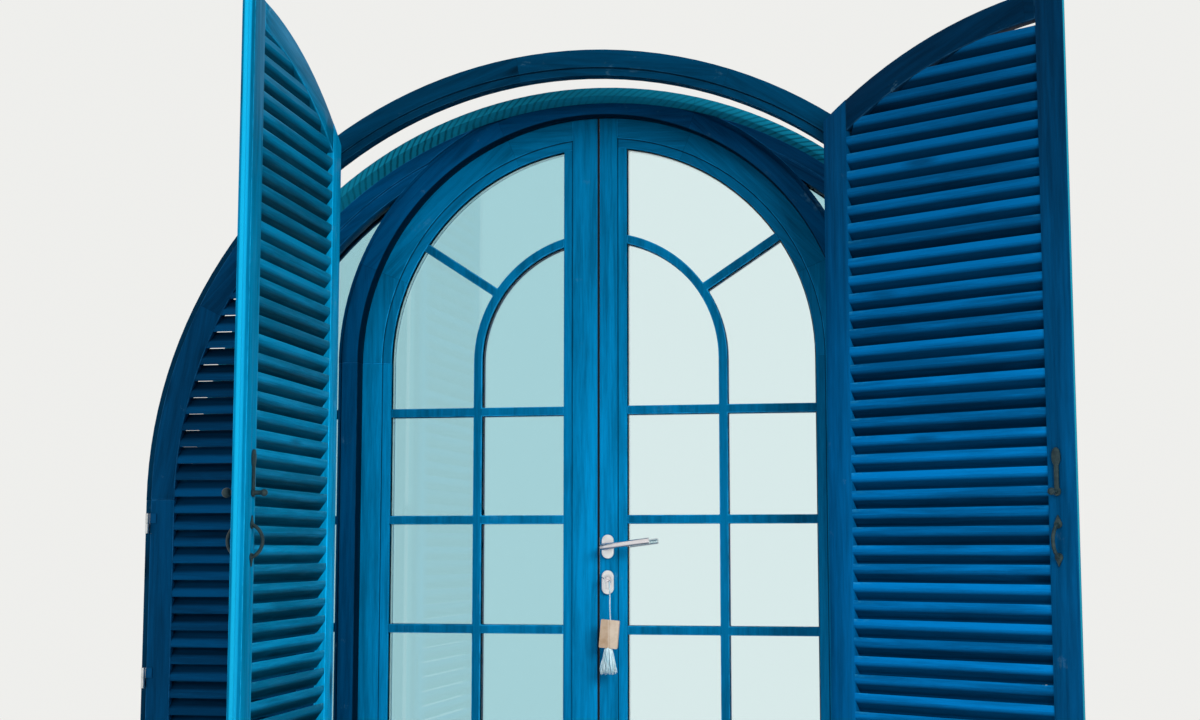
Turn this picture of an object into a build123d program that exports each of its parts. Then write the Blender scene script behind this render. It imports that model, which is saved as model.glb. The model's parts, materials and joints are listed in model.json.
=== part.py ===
"""Arched French window: glazed double door, fixed sidelights and four louvred bifold shutters.

Frame: X to the right seen from outside, Y into the building, Z up, millimetres.
Origin: middle of the underside of the sill, in the plane of the door leaves' outer face.
"""

import os
from math import cos, radians, sin, sqrt, tan

from build123d import *

os.makedirs("parts", exist_ok=True)

# Driving dimensions: the sill and the levels
SILL_THICK = 45.0
SILL_SIDE = 22.0
SILL_FRONT = 30.0
SILL_BACK = 8.0
SILL_NOSE = 8.0

# Main frame: an arched ring on two jambs, with a lining in front of it
MAIN_RADIUS = 1060.0
MAIN_CENTRE_Z = 1163.0
MAIN_WALL = 22.0
MAIN_FACE = 33.0
MAIN_LIP = 30.0
LIP_SET_BACK = 12.0
FACE_Y = -45.0
LINING_DEPTH = 78.0

# Door frame: a round arch on two posts
LEAF_BACK_GAP = 0.5
LEAF_THICK = 56.0
DOOR_SIGHT_RADIUS = 650.0
CROWN_DROP = 30.0
POST_FACE = 44.0
POST_BEAD = 14.0
LEAF_LAP = 10.0
LEAF_GAP = 3.0

# Door leaves
LEAF_BOTTOM_GAP = 7.0
MEETING_HALF_GAP = 3.5
LEAF_FLAT = 53.0
BEAD_WIDTH = 25.0
PASSIVE_FLAT = 66.0
ACTIVE_FLAT = 47.0
BOTTOM_RAIL = 193.0
BEAD_SET_BACK = 5.0
BAR_WIDTH = 23.0
BAR_DEPTH = 10.0
BAR_PITCH = 287.0
TOP_BAR_DROP = 135.0
BAR_ROWS = 4
INNER_ARCH_RADIUS = 330.0
RAY_ANGLE = 33.5

# Sealed glass units
PANE_THICK = 4.0
CAVITY = 16.0
GLASS_SET_BACK = 15.0
GLASS_REBATE = 14.0
GLASS_EDGE_GAP = 2.0
SPACER_SIGHT = 3.0
SPACER_EDGE = 4.0
POCKET_PLAY = 0.3

# Door hinges
HINGE_BARREL_R = 7.0
HINGE_PIN_R = 3.5
HINGE_FIT = 0.05
HINGE_STAND = 8.0
HINGE_HALF = 38.0
HINGE_SPLIT = 0.6
FLAP_WIDTH = 24.0
FLAP_THICK = 3.0
LOW_HINGE_Z = 300.0
MID_HINGE_Z = 900.0
TOP_HINGE_DROP = 73.0

# Lock, lever and key
LOCK_X = 26.0
LEVER_Z = 1050.0
LOCK_PITCH = 85.0
CASE_BOTTOM = 75.0
CASE_TOP = 60.0
CASE_THICK = 15.0
CASE_DEPTH = 44.0
FOREND_THICK = 3.0
FOREND_WIDTH = 20.0
FOREND_EXTRA = 12.0
ROSE_WIDTH = 32.0
ROSE_HEIGHT = 62.0
ROSE_THICK = 8.0
NECK_R = 9.95
NECK_FIT = 0.05
SPINDLE = 8.0
LEVER_STAND = 50.0
LEVER_R = 8.0
LEVER_REACH = 117.0
LEVER_TAIL = 12.0
LEVER_TILT = 7.5
BOLT_THICK = 10.0
BOLT_PLAY = 0.5
LATCH_HEIGHT = 16.0
LATCH_LENGTH = 14.0
LATCH_OUT = 3.0
DEAD_Z = 1003.0
DEAD_HEIGHT = 18.0
DEAD_LENGTH = 26.0
DEAD_THROW = 20.0
STRIKE_THICK = 2.0
STRIKE_MARGIN = 16.0
CYLINDER_R = 8.5
CYLINDER_WEB = 10.0
CYLINDER_DROP = 24.0
CYLINDER_PROUD = 3.0
PLUG_R = 6.5
PLUG_LENGTH = 30.0
KEY_THICK = 2.4
KEY_SHANK = 8.0
KEY_BOW_R = 11.0
KEY_HOLE_R = 3.0
KEY_TURN = 60.0
KEY_HANG = 12.0
TIE_REACH = 8.5

# Key fob on its string
STRING_R = 1.7
STRING_LENGTH = 97.0
STRING_DRIFT = 4.0
STRING_IN_TAG = 5.0
FOB_CLEAR = 5.0
TAG_WIDTH = 48.0
TAG_HEIGHT = 72.0
TAG_THICK = 12.0
TAG_LEAN = 5.0
TAG_CORNER = 3.0
TASSEL_LENGTH = 74.0
TASSEL_R = 18.0
TASSEL_NECK_R = 5.0

# Flush bolts and meeting seal of the passive leaf
FLUSH_BOLT_R = 5.0
FLUSH_BOLT_FIT = 0.06
FLUSH_BOLT_LENGTH = 150.0
FLUSH_BOLT_ROD = 140.0
FLUSH_BOLT_SUNK = 4.0
FLUSH_BOLT_THROW = 16.0
FLUSH_BOLT_X = 34.0
KEEPER_PLAY = 1.5
SEAL_WIDTH = 9.0
SEAL_PROUD = 2.0

# Sidelights
SIDE_BEAD = 27.0
SIDE_BEAD_THICK = 14.0

# Outer frame that carries the shutters
REVEAL_STEP = 5.0
OUTER_WIDTH = 65.0
OUTER_LIFT = 5.0
OUTER_FRONT_Y = -294.0
OUTER_THICK = 44.0
OUTER_BAND = 20.0
OUTER_STEP = 6.0
OUTER_GROOVE = 3.0
FIXING_HOLE_R = 4.0
FIXING_HOLE_Z = 300.0
FIXING_HOLE_PITCH = 700.0

# Shutter panels
SHUTTER_INSET = 30.0
SHUTTER_THICK = 27.0
SHUTTER_CLEAR = 11.0
STILE_WIDTH = 64.0
OUTER_PANEL = 464.0
FOLD_HALF_GAP = 2.0
MEETING_GAP = 3.0
MEETING_LAP = 10.0
LAP_CLEAR = 1.0
SHUTTER_BOTTOM_RAIL = 110.0
SHUTTER_BOTTOM_GAP = 7.0
LEFT_FOLD_ANGLE = -88.5
RIGHT_FOLD_ANGLE = 148.0

# Slats
SLAT_PITCH = 42.1
SLAT_EDGE = 18.0
SLAT_NOSE = 3.0
SLAT_INSET = 1.5
SLAT_SLOPE = 54.0
SLAT_SHORTEST = 40.0

# Shutter hinges
KNUCKLE_R = 5.0
KNUCKLE_PIN_R = 2.5
KNUCKLE_STAND = 5.6
KNUCKLE_HALF = 25.0
FOLD_HINGE_RISE = 708.0
FOLD_HINGE_PITCH = 728.0
JAMB_HINGE_DROP = 60.0
JAMB_HINGE_PITCH = 388.0
PLATE_WIDTH = 22.0
PLATE_THICK = 2.5
JAMB_GAP = 5.0

# Shutter latch and pulls
FURNITURE_INSET = 44.0
LATCH_PIVOT_Z = 1164.0
LATCH_SPINDLE_R = 5.0
LATCH_FIT = 0.05
SPOON_LENGTH = 94.0
SPOON_WIDTH = 20.0
SPOON_THICK = 5.0
KNOB_R = 11.0
INNER_KNOB_R = 8.0
KNOB_STAND = 14.0
OUTER_LEVER = 66.0
PULL_Z = 1060.0
PULL_HEIGHT = 70.0
PULL_STAND = 26.0
PULL_ROD_R = 4.0
FINIAL = 20.0
BACK_PLATE_R = 9.0
BACK_PLATE_THICK = 3.0
FACE_CLEAR = 0.3

# Derived levels and radii
SILL_TOP = SILL_THICK
LEAF_Y0 = LEAF_BACK_GAP
LEAF_Y1 = LEAF_BACK_GAP + LEAF_THICK
FRAME_BACK_Y = LEAF_Y1
SPRING_Z = MAIN_CENTRE_Z + MAIN_RADIUS - CROWN_DROP - DOOR_SIGHT_RADIUS
TOP_BAR_Z = SPRING_Z - TOP_BAR_DROP
DOOR_HINGE_Z = (LOW_HINGE_Z, MID_HINGE_Z, SPRING_Z - TOP_HINGE_DROP)
LEAF_RADIUS = DOOR_SIGHT_RADIUS + LEAF_LAP
REBATE_RADIUS = LEAF_RADIUS + LEAF_GAP
POST_OUT = DOOR_SIGHT_RADIUS + POST_FACE + POST_BEAD
POST_STEP_X = DOOR_SIGHT_RADIUS + POST_FACE
LEAF_BOTTOM = SILL_TOP + LEAF_BOTTOM_GAP
GROOVE_RADIUS = LEAF_RADIUS - LEAF_FLAT - LEAF_LAP
GLASS_RADIUS = GROOVE_RADIUS - BEAD_WIDTH
RAIL_TOP = LEAF_BOTTOM + BOTTOM_RAIL
GLASS_BOTTOM = RAIL_TOP + BEAD_WIDTH
SIDE_GLASS_BOTTOM = GLASS_BOTTOM - GLASS_REBATE
GLASS_Y0 = LEAF_Y0 + GLASS_SET_BACK
GLASS_Y1 = GLASS_Y0 + 2 * PANE_THICK + CAVITY
MAIN_OUT = MAIN_RADIUS + MAIN_WALL
MAIN_IN = MAIN_RADIUS - MAIN_FACE
MAIN_LIP_RADIUS = MAIN_IN - MAIN_LIP
LINING_FRONT_Y = FACE_Y - LINING_DEPTH
LIP_Y = FACE_Y + LIP_SET_BACK
OUTER_SIGHT_RADIUS = MAIN_RADIUS + REVEAL_STEP
OUTER_RADIUS = OUTER_SIGHT_RADIUS + OUTER_WIDTH
OUTER_CENTRE_Z = MAIN_CENTRE_Z + OUTER_LIFT
OUTER_BACK_Y = OUTER_FRONT_Y + OUTER_THICK
OUTER_GROOVE_RADIUS = OUTER_SIGHT_RADIUS + OUTER_BAND
SHUTTER_RADIUS = OUTER_RADIUS - SHUTTER_INSET
FOLD_X = SHUTTER_RADIUS - OUTER_PANEL
FOLD_HINGE_TOP = OUTER_CENTRE_Z + FOLD_HINGE_RISE
FOLD_HINGE_Z = [FOLD_HINGE_TOP - row * FOLD_HINGE_PITCH for row in range(3)]
JAMB_HINGE_Z = [OUTER_CENTRE_Z - JAMB_HINGE_DROP - row * JAMB_HINGE_PITCH for row in range(3)]
SHUTTER_IN_Y = OUTER_FRONT_Y - SHUTTER_CLEAR
SHUTTER_OUT_Y = SHUTTER_IN_Y - SHUTTER_THICK
SHUTTER_BOTTOM = SILL_TOP + SHUTTER_BOTTOM_GAP
SLAT_FIELD_BOTTOM = SHUTTER_BOTTOM + SHUTTER_BOTTOM_RAIL
SLAT_FIELD_RADIUS = SHUTTER_RADIUS - STILE_WIDTH
PIVOT_Y = SHUTTER_OUT_Y - KNUCKLE_STAND
JAMB_PIVOT_X = SHUTTER_RADIUS + JAMB_GAP
DOOR_PIVOT_X = (LEAF_RADIUS + REBATE_RADIUS) / 2
DOOR_PIVOT_Y = LEAF_Y1 + HINGE_STAND
KEY_Z = LEVER_Z - LOCK_PITCH
LOCK_MID_Y = (LEAF_Y0 + LEAF_Y1) / 2
FAR = 3000.0


def wall_plane(y):
    """The plane parallel to the wall at depth y, whose extrusions run outwards, towards -Y."""
    return Plane.XZ.offset(-y)


def box_area(x0, x1, z0, z1, mode=Mode.ADD):
    """A rectangle given by its limits, in the sketch that is open."""
    with Locations(((x0 + x1) / 2, (z0 + z1) / 2)):
        Rectangle(abs(x1 - x0), abs(z1 - z0), mode=mode)


def disc(radius, centre_z, mode=Mode.ADD):
    """A circle centred on the window's middle line."""
    with Locations((0, centre_z)):
        Circle(radius, mode=mode)


def save(name, part):
    """Label a finished piece and write it to its own file."""
    part.label = name
    export_step(part, "parts/" + name + ".step")


def glass_area(side, meeting_x, margin):
    """The area inside a door leaf's sight line, grown by a margin."""
    inner = side * (meeting_x - margin)
    outer = side * (GLASS_RADIUS + margin)
    disc(GLASS_RADIUS + margin, SPRING_Z)
    box_area(inner, side * FAR, SPRING_Z, FAR, mode=Mode.INTERSECT)
    box_area(inner, outer, GLASS_BOTTOM - margin, SPRING_Z)


# The sill carries both frames and stands on the floor of the wall opening
SILL_HALF = OUTER_RADIUS + SILL_SIDE
SILL_Y0 = OUTER_FRONT_Y - SILL_FRONT
SILL_Y1 = FRAME_BACK_Y + SILL_BACK
with BuildPart() as sill:
    with BuildSketch(Plane.XY):
        box_area(-SILL_HALF, SILL_HALF, SILL_Y0, SILL_Y1)
    extrude(amount=SILL_THICK)
    nose = sill.edges().filter_by(Axis.X).group_by(Axis.Z)[-1].sort_by(Axis.Y)[0]
    fillet(nose, radius=SILL_NOSE)
    with BuildSketch(Plane.XY.offset(SILL_TOP)):
        with Locations((-FLUSH_BOLT_X, LOCK_MID_Y)):
            Circle(FLUSH_BOLT_R + KEEPER_PLAY)
    extrude(amount=-(FLUSH_BOLT_THROW + KEEPER_PLAY), mode=Mode.SUBTRACT)
save("sill", sill.part)


# Outer frame: flat face, groove and a recessed inner band
def outer_arch():
    """The arched head of the outer frame."""
    with BuildPart() as arch:
        with BuildSketch(wall_plane(OUTER_BACK_Y)):
            disc(OUTER_RADIUS, OUTER_CENTRE_Z)
            disc(OUTER_SIGHT_RADIUS, OUTER_CENTRE_Z, mode=Mode.SUBTRACT)
            box_area(-FAR, FAR, OUTER_CENTRE_Z, FAR, mode=Mode.INTERSECT)
        extrude(amount=OUTER_THICK)
        with BuildSketch(wall_plane(OUTER_FRONT_Y + OUTER_STEP)):
            disc(OUTER_GROOVE_RADIUS, OUTER_CENTRE_Z)
        extrude(amount=OUTER_STEP, mode=Mode.SUBTRACT)
        with BuildSketch(wall_plane(OUTER_FRONT_Y + 2 * OUTER_STEP)):
            disc(OUTER_GROOVE_RADIUS, OUTER_CENTRE_Z)
            disc(OUTER_GROOVE_RADIUS - OUTER_GROOVE, OUTER_CENTRE_Z, mode=Mode.SUBTRACT)
        extrude(amount=2 * OUTER_STEP, mode=Mode.SUBTRACT)
    return arch.part


def outer_leg(side):
    """One leg of the outer frame."""
    with BuildPart() as leg:
        with BuildSketch(wall_plane(OUTER_BACK_Y)):
            box_area(side * OUTER_SIGHT_RADIUS, side * OUTER_RADIUS, SILL_TOP, OUTER_CENTRE_Z)
        extrude(amount=OUTER_THICK)
        with BuildSketch(wall_plane(OUTER_FRONT_Y + OUTER_STEP)):
            box_area(side * OUTER_SIGHT_RADIUS, side * OUTER_GROOVE_RADIUS, SILL_TOP, OUTER_CENTRE_Z)
        extrude(amount=OUTER_STEP, mode=Mode.SUBTRACT)
        with BuildSketch(wall_plane(OUTER_FRONT_Y + 2 * OUTER_STEP)):
            groove_in = OUTER_GROOVE_RADIUS - OUTER_GROOVE
            box_area(side * groove_in, side * OUTER_GROOVE_RADIUS, SILL_TOP, OUTER_CENTRE_Z)
        extrude(amount=2 * OUTER_STEP, mode=Mode.SUBTRACT)
    return leg.part


save("outer_frame_arch", outer_arch())
save("outer_frame_legs", Compound(children=[outer_leg(-1), outer_leg(1)]))


# Main frame: lining, face and the lip that holds the sidelights
def main_arch():
    """The arched head, cut away where the door arch stands in it."""
    with BuildPart() as arch:
        with BuildSketch(wall_plane(FRAME_BACK_Y)):
            disc(MAIN_OUT, MAIN_CENTRE_Z)
            disc(MAIN_RADIUS, MAIN_CENTRE_Z, mode=Mode.SUBTRACT)
            box_area(-FAR, FAR, MAIN_CENTRE_Z, FAR, mode=Mode.INTERSECT)
        extrude(amount=FRAME_BACK_Y - LINING_FRONT_Y)
        with BuildSketch(wall_plane(FRAME_BACK_Y)):
            disc(MAIN_RADIUS, MAIN_CENTRE_Z)
            disc(MAIN_IN, MAIN_CENTRE_Z, mode=Mode.SUBTRACT)
            box_area(-FAR, FAR, MAIN_CENTRE_Z, FAR, mode=Mode.INTERSECT)
            disc(POST_OUT, SPRING_Z, mode=Mode.SUBTRACT)
        extrude(amount=FRAME_BACK_Y - FACE_Y)
        with BuildSketch(wall_plane(GLASS_Y0)):
            disc(MAIN_IN, MAIN_CENTRE_Z)
            disc(MAIN_LIP_RADIUS, MAIN_CENTRE_Z, mode=Mode.SUBTRACT)
            box_area(-FAR, FAR, MAIN_CENTRE_Z, FAR, mode=Mode.INTERSECT)
            disc(POST_OUT, SPRING_Z, mode=Mode.SUBTRACT)
        extrude(amount=GLASS_Y0 - LIP_Y)
    return arch.part


def main_jamb(side):
    """One jamb with its lining, and two fixing holes into the side of the wall opening."""
    with BuildPart() as jamb:
        with BuildSketch(wall_plane(FRAME_BACK_Y)):
            box_area(side * MAIN_RADIUS, side * MAIN_OUT, SILL_TOP, MAIN_CENTRE_Z)
        extrude(amount=FRAME_BACK_Y - LINING_FRONT_Y)
        with BuildSketch(wall_plane(FRAME_BACK_Y)):
            box_area(side * MAIN_IN, side * MAIN_RADIUS, SILL_TOP, MAIN_CENTRE_Z)
        extrude(amount=FRAME_BACK_Y - FACE_Y)
        with BuildSketch(wall_plane(GLASS_Y0)):
            box_area(side * MAIN_LIP_RADIUS, side * MAIN_IN, SILL_TOP, MAIN_CENTRE_Z)
        extrude(amount=GLASS_Y0 - LIP_Y)
        drill_y = (LINING_FRONT_Y + FACE_Y) / 2
        with BuildSketch(Plane.YZ.offset(side * (MAIN_RADIUS + MAIN_OUT) / 2)):
            with Locations((drill_y, FIXING_HOLE_Z), (drill_y, FIXING_HOLE_Z + FIXING_HOLE_PITCH)):
                Circle(FIXING_HOLE_R)
        extrude(amount=MAIN_WALL, both=True, mode=Mode.SUBTRACT)
    return jamb.part


save("main_frame_arch", main_arch())
save("main_frame_jambs", Compound(children=[main_jamb(-1), main_jamb(1)]))


# Door frame: the leaves close against its stop from inside
def door_arch():
    """The round arch over the doors, with its rebate and the keeper hole of the top bolt."""
    with BuildPart() as arch:
        with BuildSketch(wall_plane(FRAME_BACK_Y)):
            disc(POST_OUT, SPRING_Z)
            disc(REBATE_RADIUS, SPRING_Z, mode=Mode.SUBTRACT)
            box_area(-FAR, FAR, SPRING_Z, FAR, mode=Mode.INTERSECT)
            disc(MAIN_RADIUS, MAIN_CENTRE_Z, mode=Mode.INTERSECT)
        extrude(amount=FRAME_BACK_Y - LIP_Y)
        with BuildSketch(wall_plane(0)):
            disc(REBATE_RADIUS, SPRING_Z)
            disc(DOOR_SIGHT_RADIUS, SPRING_Z, mode=Mode.SUBTRACT)
            box_area(-FAR, FAR, SPRING_Z, FAR, mode=Mode.INTERSECT)
        extrude(amount=-LIP_Y)
        with BuildSketch(wall_plane(LIP_Y)):
            disc(POST_STEP_X, SPRING_Z)
            disc(DOOR_SIGHT_RADIUS, SPRING_Z, mode=Mode.SUBTRACT)
            box_area(-FAR, FAR, SPRING_Z, FAR, mode=Mode.INTERSECT)
            disc(MAIN_RADIUS, MAIN_CENTRE_Z, mode=Mode.INTERSECT)
        extrude(amount=LIP_SET_BACK)
        with BuildSketch(wall_plane(GLASS_Y1 + POCKET_PLAY)):
            disc(POST_OUT, SPRING_Z)
            disc(POST_OUT - POST_BEAD + GLASS_EDGE_GAP, SPRING_Z, mode=Mode.SUBTRACT)
            disc(MAIN_IN, MAIN_CENTRE_Z, mode=Mode.INTERSECT)
        extrude(amount=GLASS_Y1 - GLASS_Y0 + 2 * POCKET_PLAY, mode=Mode.SUBTRACT)
        with BuildSketch(Plane.XY.offset(SPRING_Z)):
            with Locations((-FLUSH_BOLT_X, LOCK_MID_Y)):
                Circle(FLUSH_BOLT_R + KEEPER_PLAY)
        keeper_top = sqrt(REBATE_RADIUS ** 2 - FLUSH_BOLT_X ** 2) + FLUSH_BOLT_THROW + KEEPER_PLAY
        extrude(amount=keeper_top, mode=Mode.SUBTRACT)
    return arch.part


def door_post(side):
    """One post between a door leaf and a sidelight."""
    with BuildPart() as post:
        with BuildSketch(wall_plane(FRAME_BACK_Y)):
            box_area(side * REBATE_RADIUS, side * POST_OUT, SILL_TOP, SPRING_Z)
        extrude(amount=FRAME_BACK_Y - LIP_Y)
        with BuildSketch(wall_plane(0)):
            box_area(side * DOOR_SIGHT_RADIUS, side * REBATE_RADIUS, SILL_TOP, SPRING_Z)
        extrude(amount=-LIP_Y)
        with BuildSketch(wall_plane(LIP_Y)):
            box_area(side * DOOR_SIGHT_RADIUS, side * POST_STEP_X, SILL_TOP, SPRING_Z)
        extrude(amount=LIP_SET_BACK)
        with BuildSketch(wall_plane(GLASS_Y1 + POCKET_PLAY)):
            pocket_x = POST_OUT - POST_BEAD + GLASS_EDGE_GAP
            box_area(side * pocket_x, side * POST_OUT, SILL_TOP, SPRING_Z)
        extrude(amount=GLASS_Y1 - GLASS_Y0 + 2 * POCKET_PLAY, mode=Mode.SUBTRACT)
    return post.part


save("door_frame_arch", door_arch())
save("door_posts", Compound(children=[door_post(-1), door_post(1)]))


# Fixed sidelights: a bottom rail, a pane unit, bars on both faces and an inner glazing bead
def sidelight_area(side, outer_margin, inner_margin, bottom):
    """The area between the main frame and the door frame above a level, grown on two sides."""
    half_width = MAIN_LIP_RADIUS + outer_margin
    disc(half_width, MAIN_CENTRE_Z)
    box_area(-FAR, FAR, MAIN_CENTRE_Z, FAR, mode=Mode.INTERSECT)
    box_area(-half_width, half_width, bottom, MAIN_CENTRE_Z)
    disc(POST_OUT - inner_margin, SPRING_Z, mode=Mode.SUBTRACT)
    half = POST_OUT - inner_margin
    box_area(-half, half, SILL_TOP, SPRING_Z, mode=Mode.SUBTRACT)
    box_area(0, side * FAR, SILL_TOP, FAR, mode=Mode.INTERSECT)


def sidelight_rail(side):
    """The bottom rail of one sidelight, with the lip in front of the glass."""
    with BuildPart() as rail:
        with BuildSketch(wall_plane(FRAME_BACK_Y)):
            box_area(side * POST_OUT, side * MAIN_IN, SILL_TOP, SIDE_GLASS_BOTTOM)
        extrude(amount=FRAME_BACK_Y - GLASS_Y0)
        with BuildSketch(wall_plane(GLASS_Y0)):
            box_area(side * POST_OUT, side * MAIN_LIP_RADIUS, SILL_TOP, GLASS_BOTTOM)
        extrude(amount=GLASS_Y0 - LIP_Y)
    return rail.part


def sidelight_glass(side):
    """The two panes of one sidelight."""
    grow_out = MAIN_LIP - GLASS_EDGE_GAP
    grow_in = POST_BEAD - 2 * GLASS_EDGE_GAP
    with BuildPart() as glass:
        for back in (GLASS_Y0 + PANE_THICK, GLASS_Y1):
            with BuildSketch(wall_plane(back)):
                sidelight_area(side, grow_out, grow_in, SIDE_GLASS_BOTTOM)
            extrude(amount=PANE_THICK)
    return glass.part


def sidelight_bars(side):
    """The crossbars of one sidelight, a set on each face of the glass."""
    with BuildPart() as bars:
        for back in (GLASS_Y0, GLASS_Y1 + BAR_DEPTH):
            with BuildSketch(wall_plane(back)):
                for row in range(BAR_ROWS):
                    bar_z = TOP_BAR_Z - row * BAR_PITCH
                    box_area(0, side * FAR, bar_z - BAR_WIDTH / 2, bar_z + BAR_WIDTH / 2)
                with BuildSketch(mode=Mode.PRIVATE) as opening:
                    sidelight_area(side, 0, 0, GLASS_BOTTOM)
                add(opening.sketch, mode=Mode.INTERSECT)
            extrude(amount=BAR_DEPTH)
    return bars.part


def sidelight_bead(side):
    """The bead that holds the glass from the room side, along the main frame."""
    with BuildPart() as bead:
        with BuildSketch(wall_plane(GLASS_Y1 + SIDE_BEAD_THICK)):
            sidelight_area(side, SIDE_BEAD, 0, SIDE_GLASS_BOTTOM)
            with BuildSketch(mode=Mode.PRIVATE) as sight:
                disc(MAIN_LIP_RADIUS, MAIN_CENTRE_Z)
                box_area(-MAIN_LIP_RADIUS, MAIN_LIP_RADIUS, 0, MAIN_CENTRE_Z)
            add(sight.sketch, mode=Mode.SUBTRACT)
        extrude(amount=SIDE_BEAD_THICK)
    return bead.part


save("sidelight_rails", Compound(children=[sidelight_rail(-1), sidelight_rail(1)]))
save("sidelight_glass", Compound(children=sidelight_glass(-1).solids() + sidelight_glass(1).solids()))
save("sidelight_bars", Compound(children=sidelight_bars(-1).solids() + sidelight_bars(1).solids()))
save("sidelight_beads", Compound(children=sidelight_bead(-1).solids() + sidelight_bead(1).solids()))


# Door leaves: hinge stile, meeting stile, rails, bars and the sealed glass unit
def bead_depths():
    """The two planes between which the moulded bead lies, from the room side outwards."""
    return LEAF_Y1 - BEAD_SET_BACK, LEAF_THICK - 2 * BEAD_SET_BACK


def cut_glass_pocket(side, meeting_x):
    """Cut the groove that holds the glass unit, inside the part that is open."""
    with BuildSketch(wall_plane(GLASS_Y1 + POCKET_PLAY)) as area:
        glass_area(side, meeting_x, GLASS_REBATE)
    extrude(area.sketch, amount=GLASS_Y1 - GLASS_Y0 + 2 * POCKET_PLAY, mode=Mode.SUBTRACT)


def leaf_stiles(side, flat_x, sight_x):
    """The hinge stile and the meeting stile of one leaf."""
    back, bead_thick = bead_depths()
    with BuildPart() as hinge_stile:
        with BuildSketch(wall_plane(LEAF_Y1)):
            box_area(side * GROOVE_RADIUS, side * LEAF_RADIUS, LEAF_BOTTOM, SPRING_Z)
        extrude(amount=LEAF_THICK)
        with BuildSketch(wall_plane(back)):
            box_area(side * GLASS_RADIUS, side * GROOVE_RADIUS, GLASS_BOTTOM, SPRING_Z)
        extrude(amount=bead_thick)
        cut_glass_pocket(side, sight_x)
    with BuildPart() as meeting_stile:
        with BuildSketch(wall_plane(LEAF_Y1)):
            disc(LEAF_RADIUS, SPRING_Z)
            box_area(side * MEETING_HALF_GAP, side * flat_x, SPRING_Z, FAR, mode=Mode.INTERSECT)
            box_area(side * MEETING_HALF_GAP, side * flat_x, LEAF_BOTTOM, SPRING_Z)
        extrude(amount=LEAF_THICK)
        with BuildSketch(wall_plane(back)):
            disc(GLASS_RADIUS, SPRING_Z)
            box_area(side * flat_x, side * sight_x, SPRING_Z, FAR, mode=Mode.INTERSECT)
            box_area(side * flat_x, side * sight_x, GLASS_BOTTOM, SPRING_Z)
        extrude(amount=bead_thick)
        cut_glass_pocket(side, sight_x)
        if side < 0:
            cut_passive_edge()
        else:
            cut_lock_mortise()
    return hinge_stile.part, meeting_stile.part


def cut_passive_edge():
    """Bores for the two flush bolts, the strike recess and the pockets behind it."""
    edge = -MEETING_HALF_GAP
    top = sqrt(LEAF_RADIUS ** 2 - FLUSH_BOLT_X ** 2) + SPRING_Z
    bore = FLUSH_BOLT_R + FLUSH_BOLT_FIT
    for level, depth in ((LEAF_BOTTOM, FLUSH_BOLT_LENGTH), (top + 1, -FLUSH_BOLT_LENGTH - 1)):
        with BuildSketch(Plane.XY.offset(level)) as area:
            with Locations((-FLUSH_BOLT_X, LOCK_MID_Y)):
                Circle(bore)
        extrude(area.sketch, amount=depth, mode=Mode.SUBTRACT)
    with BuildSketch(Plane.YZ.offset(edge)) as area:
        strike_area(0)
    extrude(area.sketch, amount=-STRIKE_THICK, mode=Mode.SUBTRACT)
    with BuildSketch(Plane.YZ.offset(edge)) as area:
        dead_area(2 * BOLT_PLAY)
        latch_area(2 * BOLT_PLAY)
    extrude(area.sketch, amount=-(DEAD_THROW + FOREND_THICK), mode=Mode.SUBTRACT)


def strike_area(margin):
    """The strike plate's outline in the edge of the passive leaf."""
    low = DEAD_Z - DEAD_HEIGHT / 2 - STRIKE_MARGIN
    high = LEVER_Z + LATCH_HEIGHT / 2 + STRIKE_MARGIN
    half = FOREND_WIDTH / 2 - margin
    box_area(LOCK_MID_Y - half, LOCK_MID_Y + half, low, high)


def dead_area(play):
    """The deadbolt's section, grown by its play."""
    half = BOLT_THICK / 2 + play
    box_area(LOCK_MID_Y - half, LOCK_MID_Y + half, DEAD_Z - DEAD_HEIGHT / 2 - play, DEAD_Z + DEAD_HEIGHT / 2 + play)


def latch_area(play):
    """The latch bolt's section, grown by its play."""
    half = BOLT_THICK / 2 + play
    low = LEVER_Z - LATCH_HEIGHT / 2 - play
    box_area(LOCK_MID_Y - half, LOCK_MID_Y + half, low, LEVER_Z + LATCH_HEIGHT / 2 + play)


def cylinder_area(margin):
    """The keyhole-shaped section of the lock cylinder, seen from outside."""
    with Locations((LOCK_X, KEY_Z)):
        Circle(CYLINDER_R + margin)
    half = CYLINDER_WEB / 2 + margin
    box_area(LOCK_X - half, LOCK_X + half, KEY_Z - CYLINDER_DROP - margin, KEY_Z)


def cut_lock_mortise():
    """The mortise of the lock case and the holes for spindle and cylinder."""
    edge = MEETING_HALF_GAP
    low = KEY_Z - CASE_BOTTOM
    high = LEVER_Z + CASE_TOP
    with BuildSketch(Plane.YZ.offset(edge)) as area:
        half = CASE_THICK / 2 + POCKET_PLAY
        box_area(LOCK_MID_Y - half, LOCK_MID_Y + half, low - POCKET_PLAY, high + POCKET_PLAY)
    extrude(area.sketch, amount=CASE_DEPTH + POCKET_PLAY, mode=Mode.SUBTRACT)
    with BuildSketch(Plane.YZ.offset(edge)) as area:
        half = FOREND_WIDTH / 2 + POCKET_PLAY
        box_area(LOCK_MID_Y - half, LOCK_MID_Y + half, low - FOREND_EXTRA, high + FOREND_EXTRA)
    extrude(area.sketch, amount=FOREND_THICK, mode=Mode.SUBTRACT)
    with BuildSketch(wall_plane(LEAF_Y1)) as area:
        with Locations((LOCK_X, LEVER_Z)):
            Circle(NECK_R + POCKET_PLAY)
        cylinder_area(POCKET_PLAY)
    extrude(area.sketch, amount=LEAF_THICK, mode=Mode.SUBTRACT)


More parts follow.
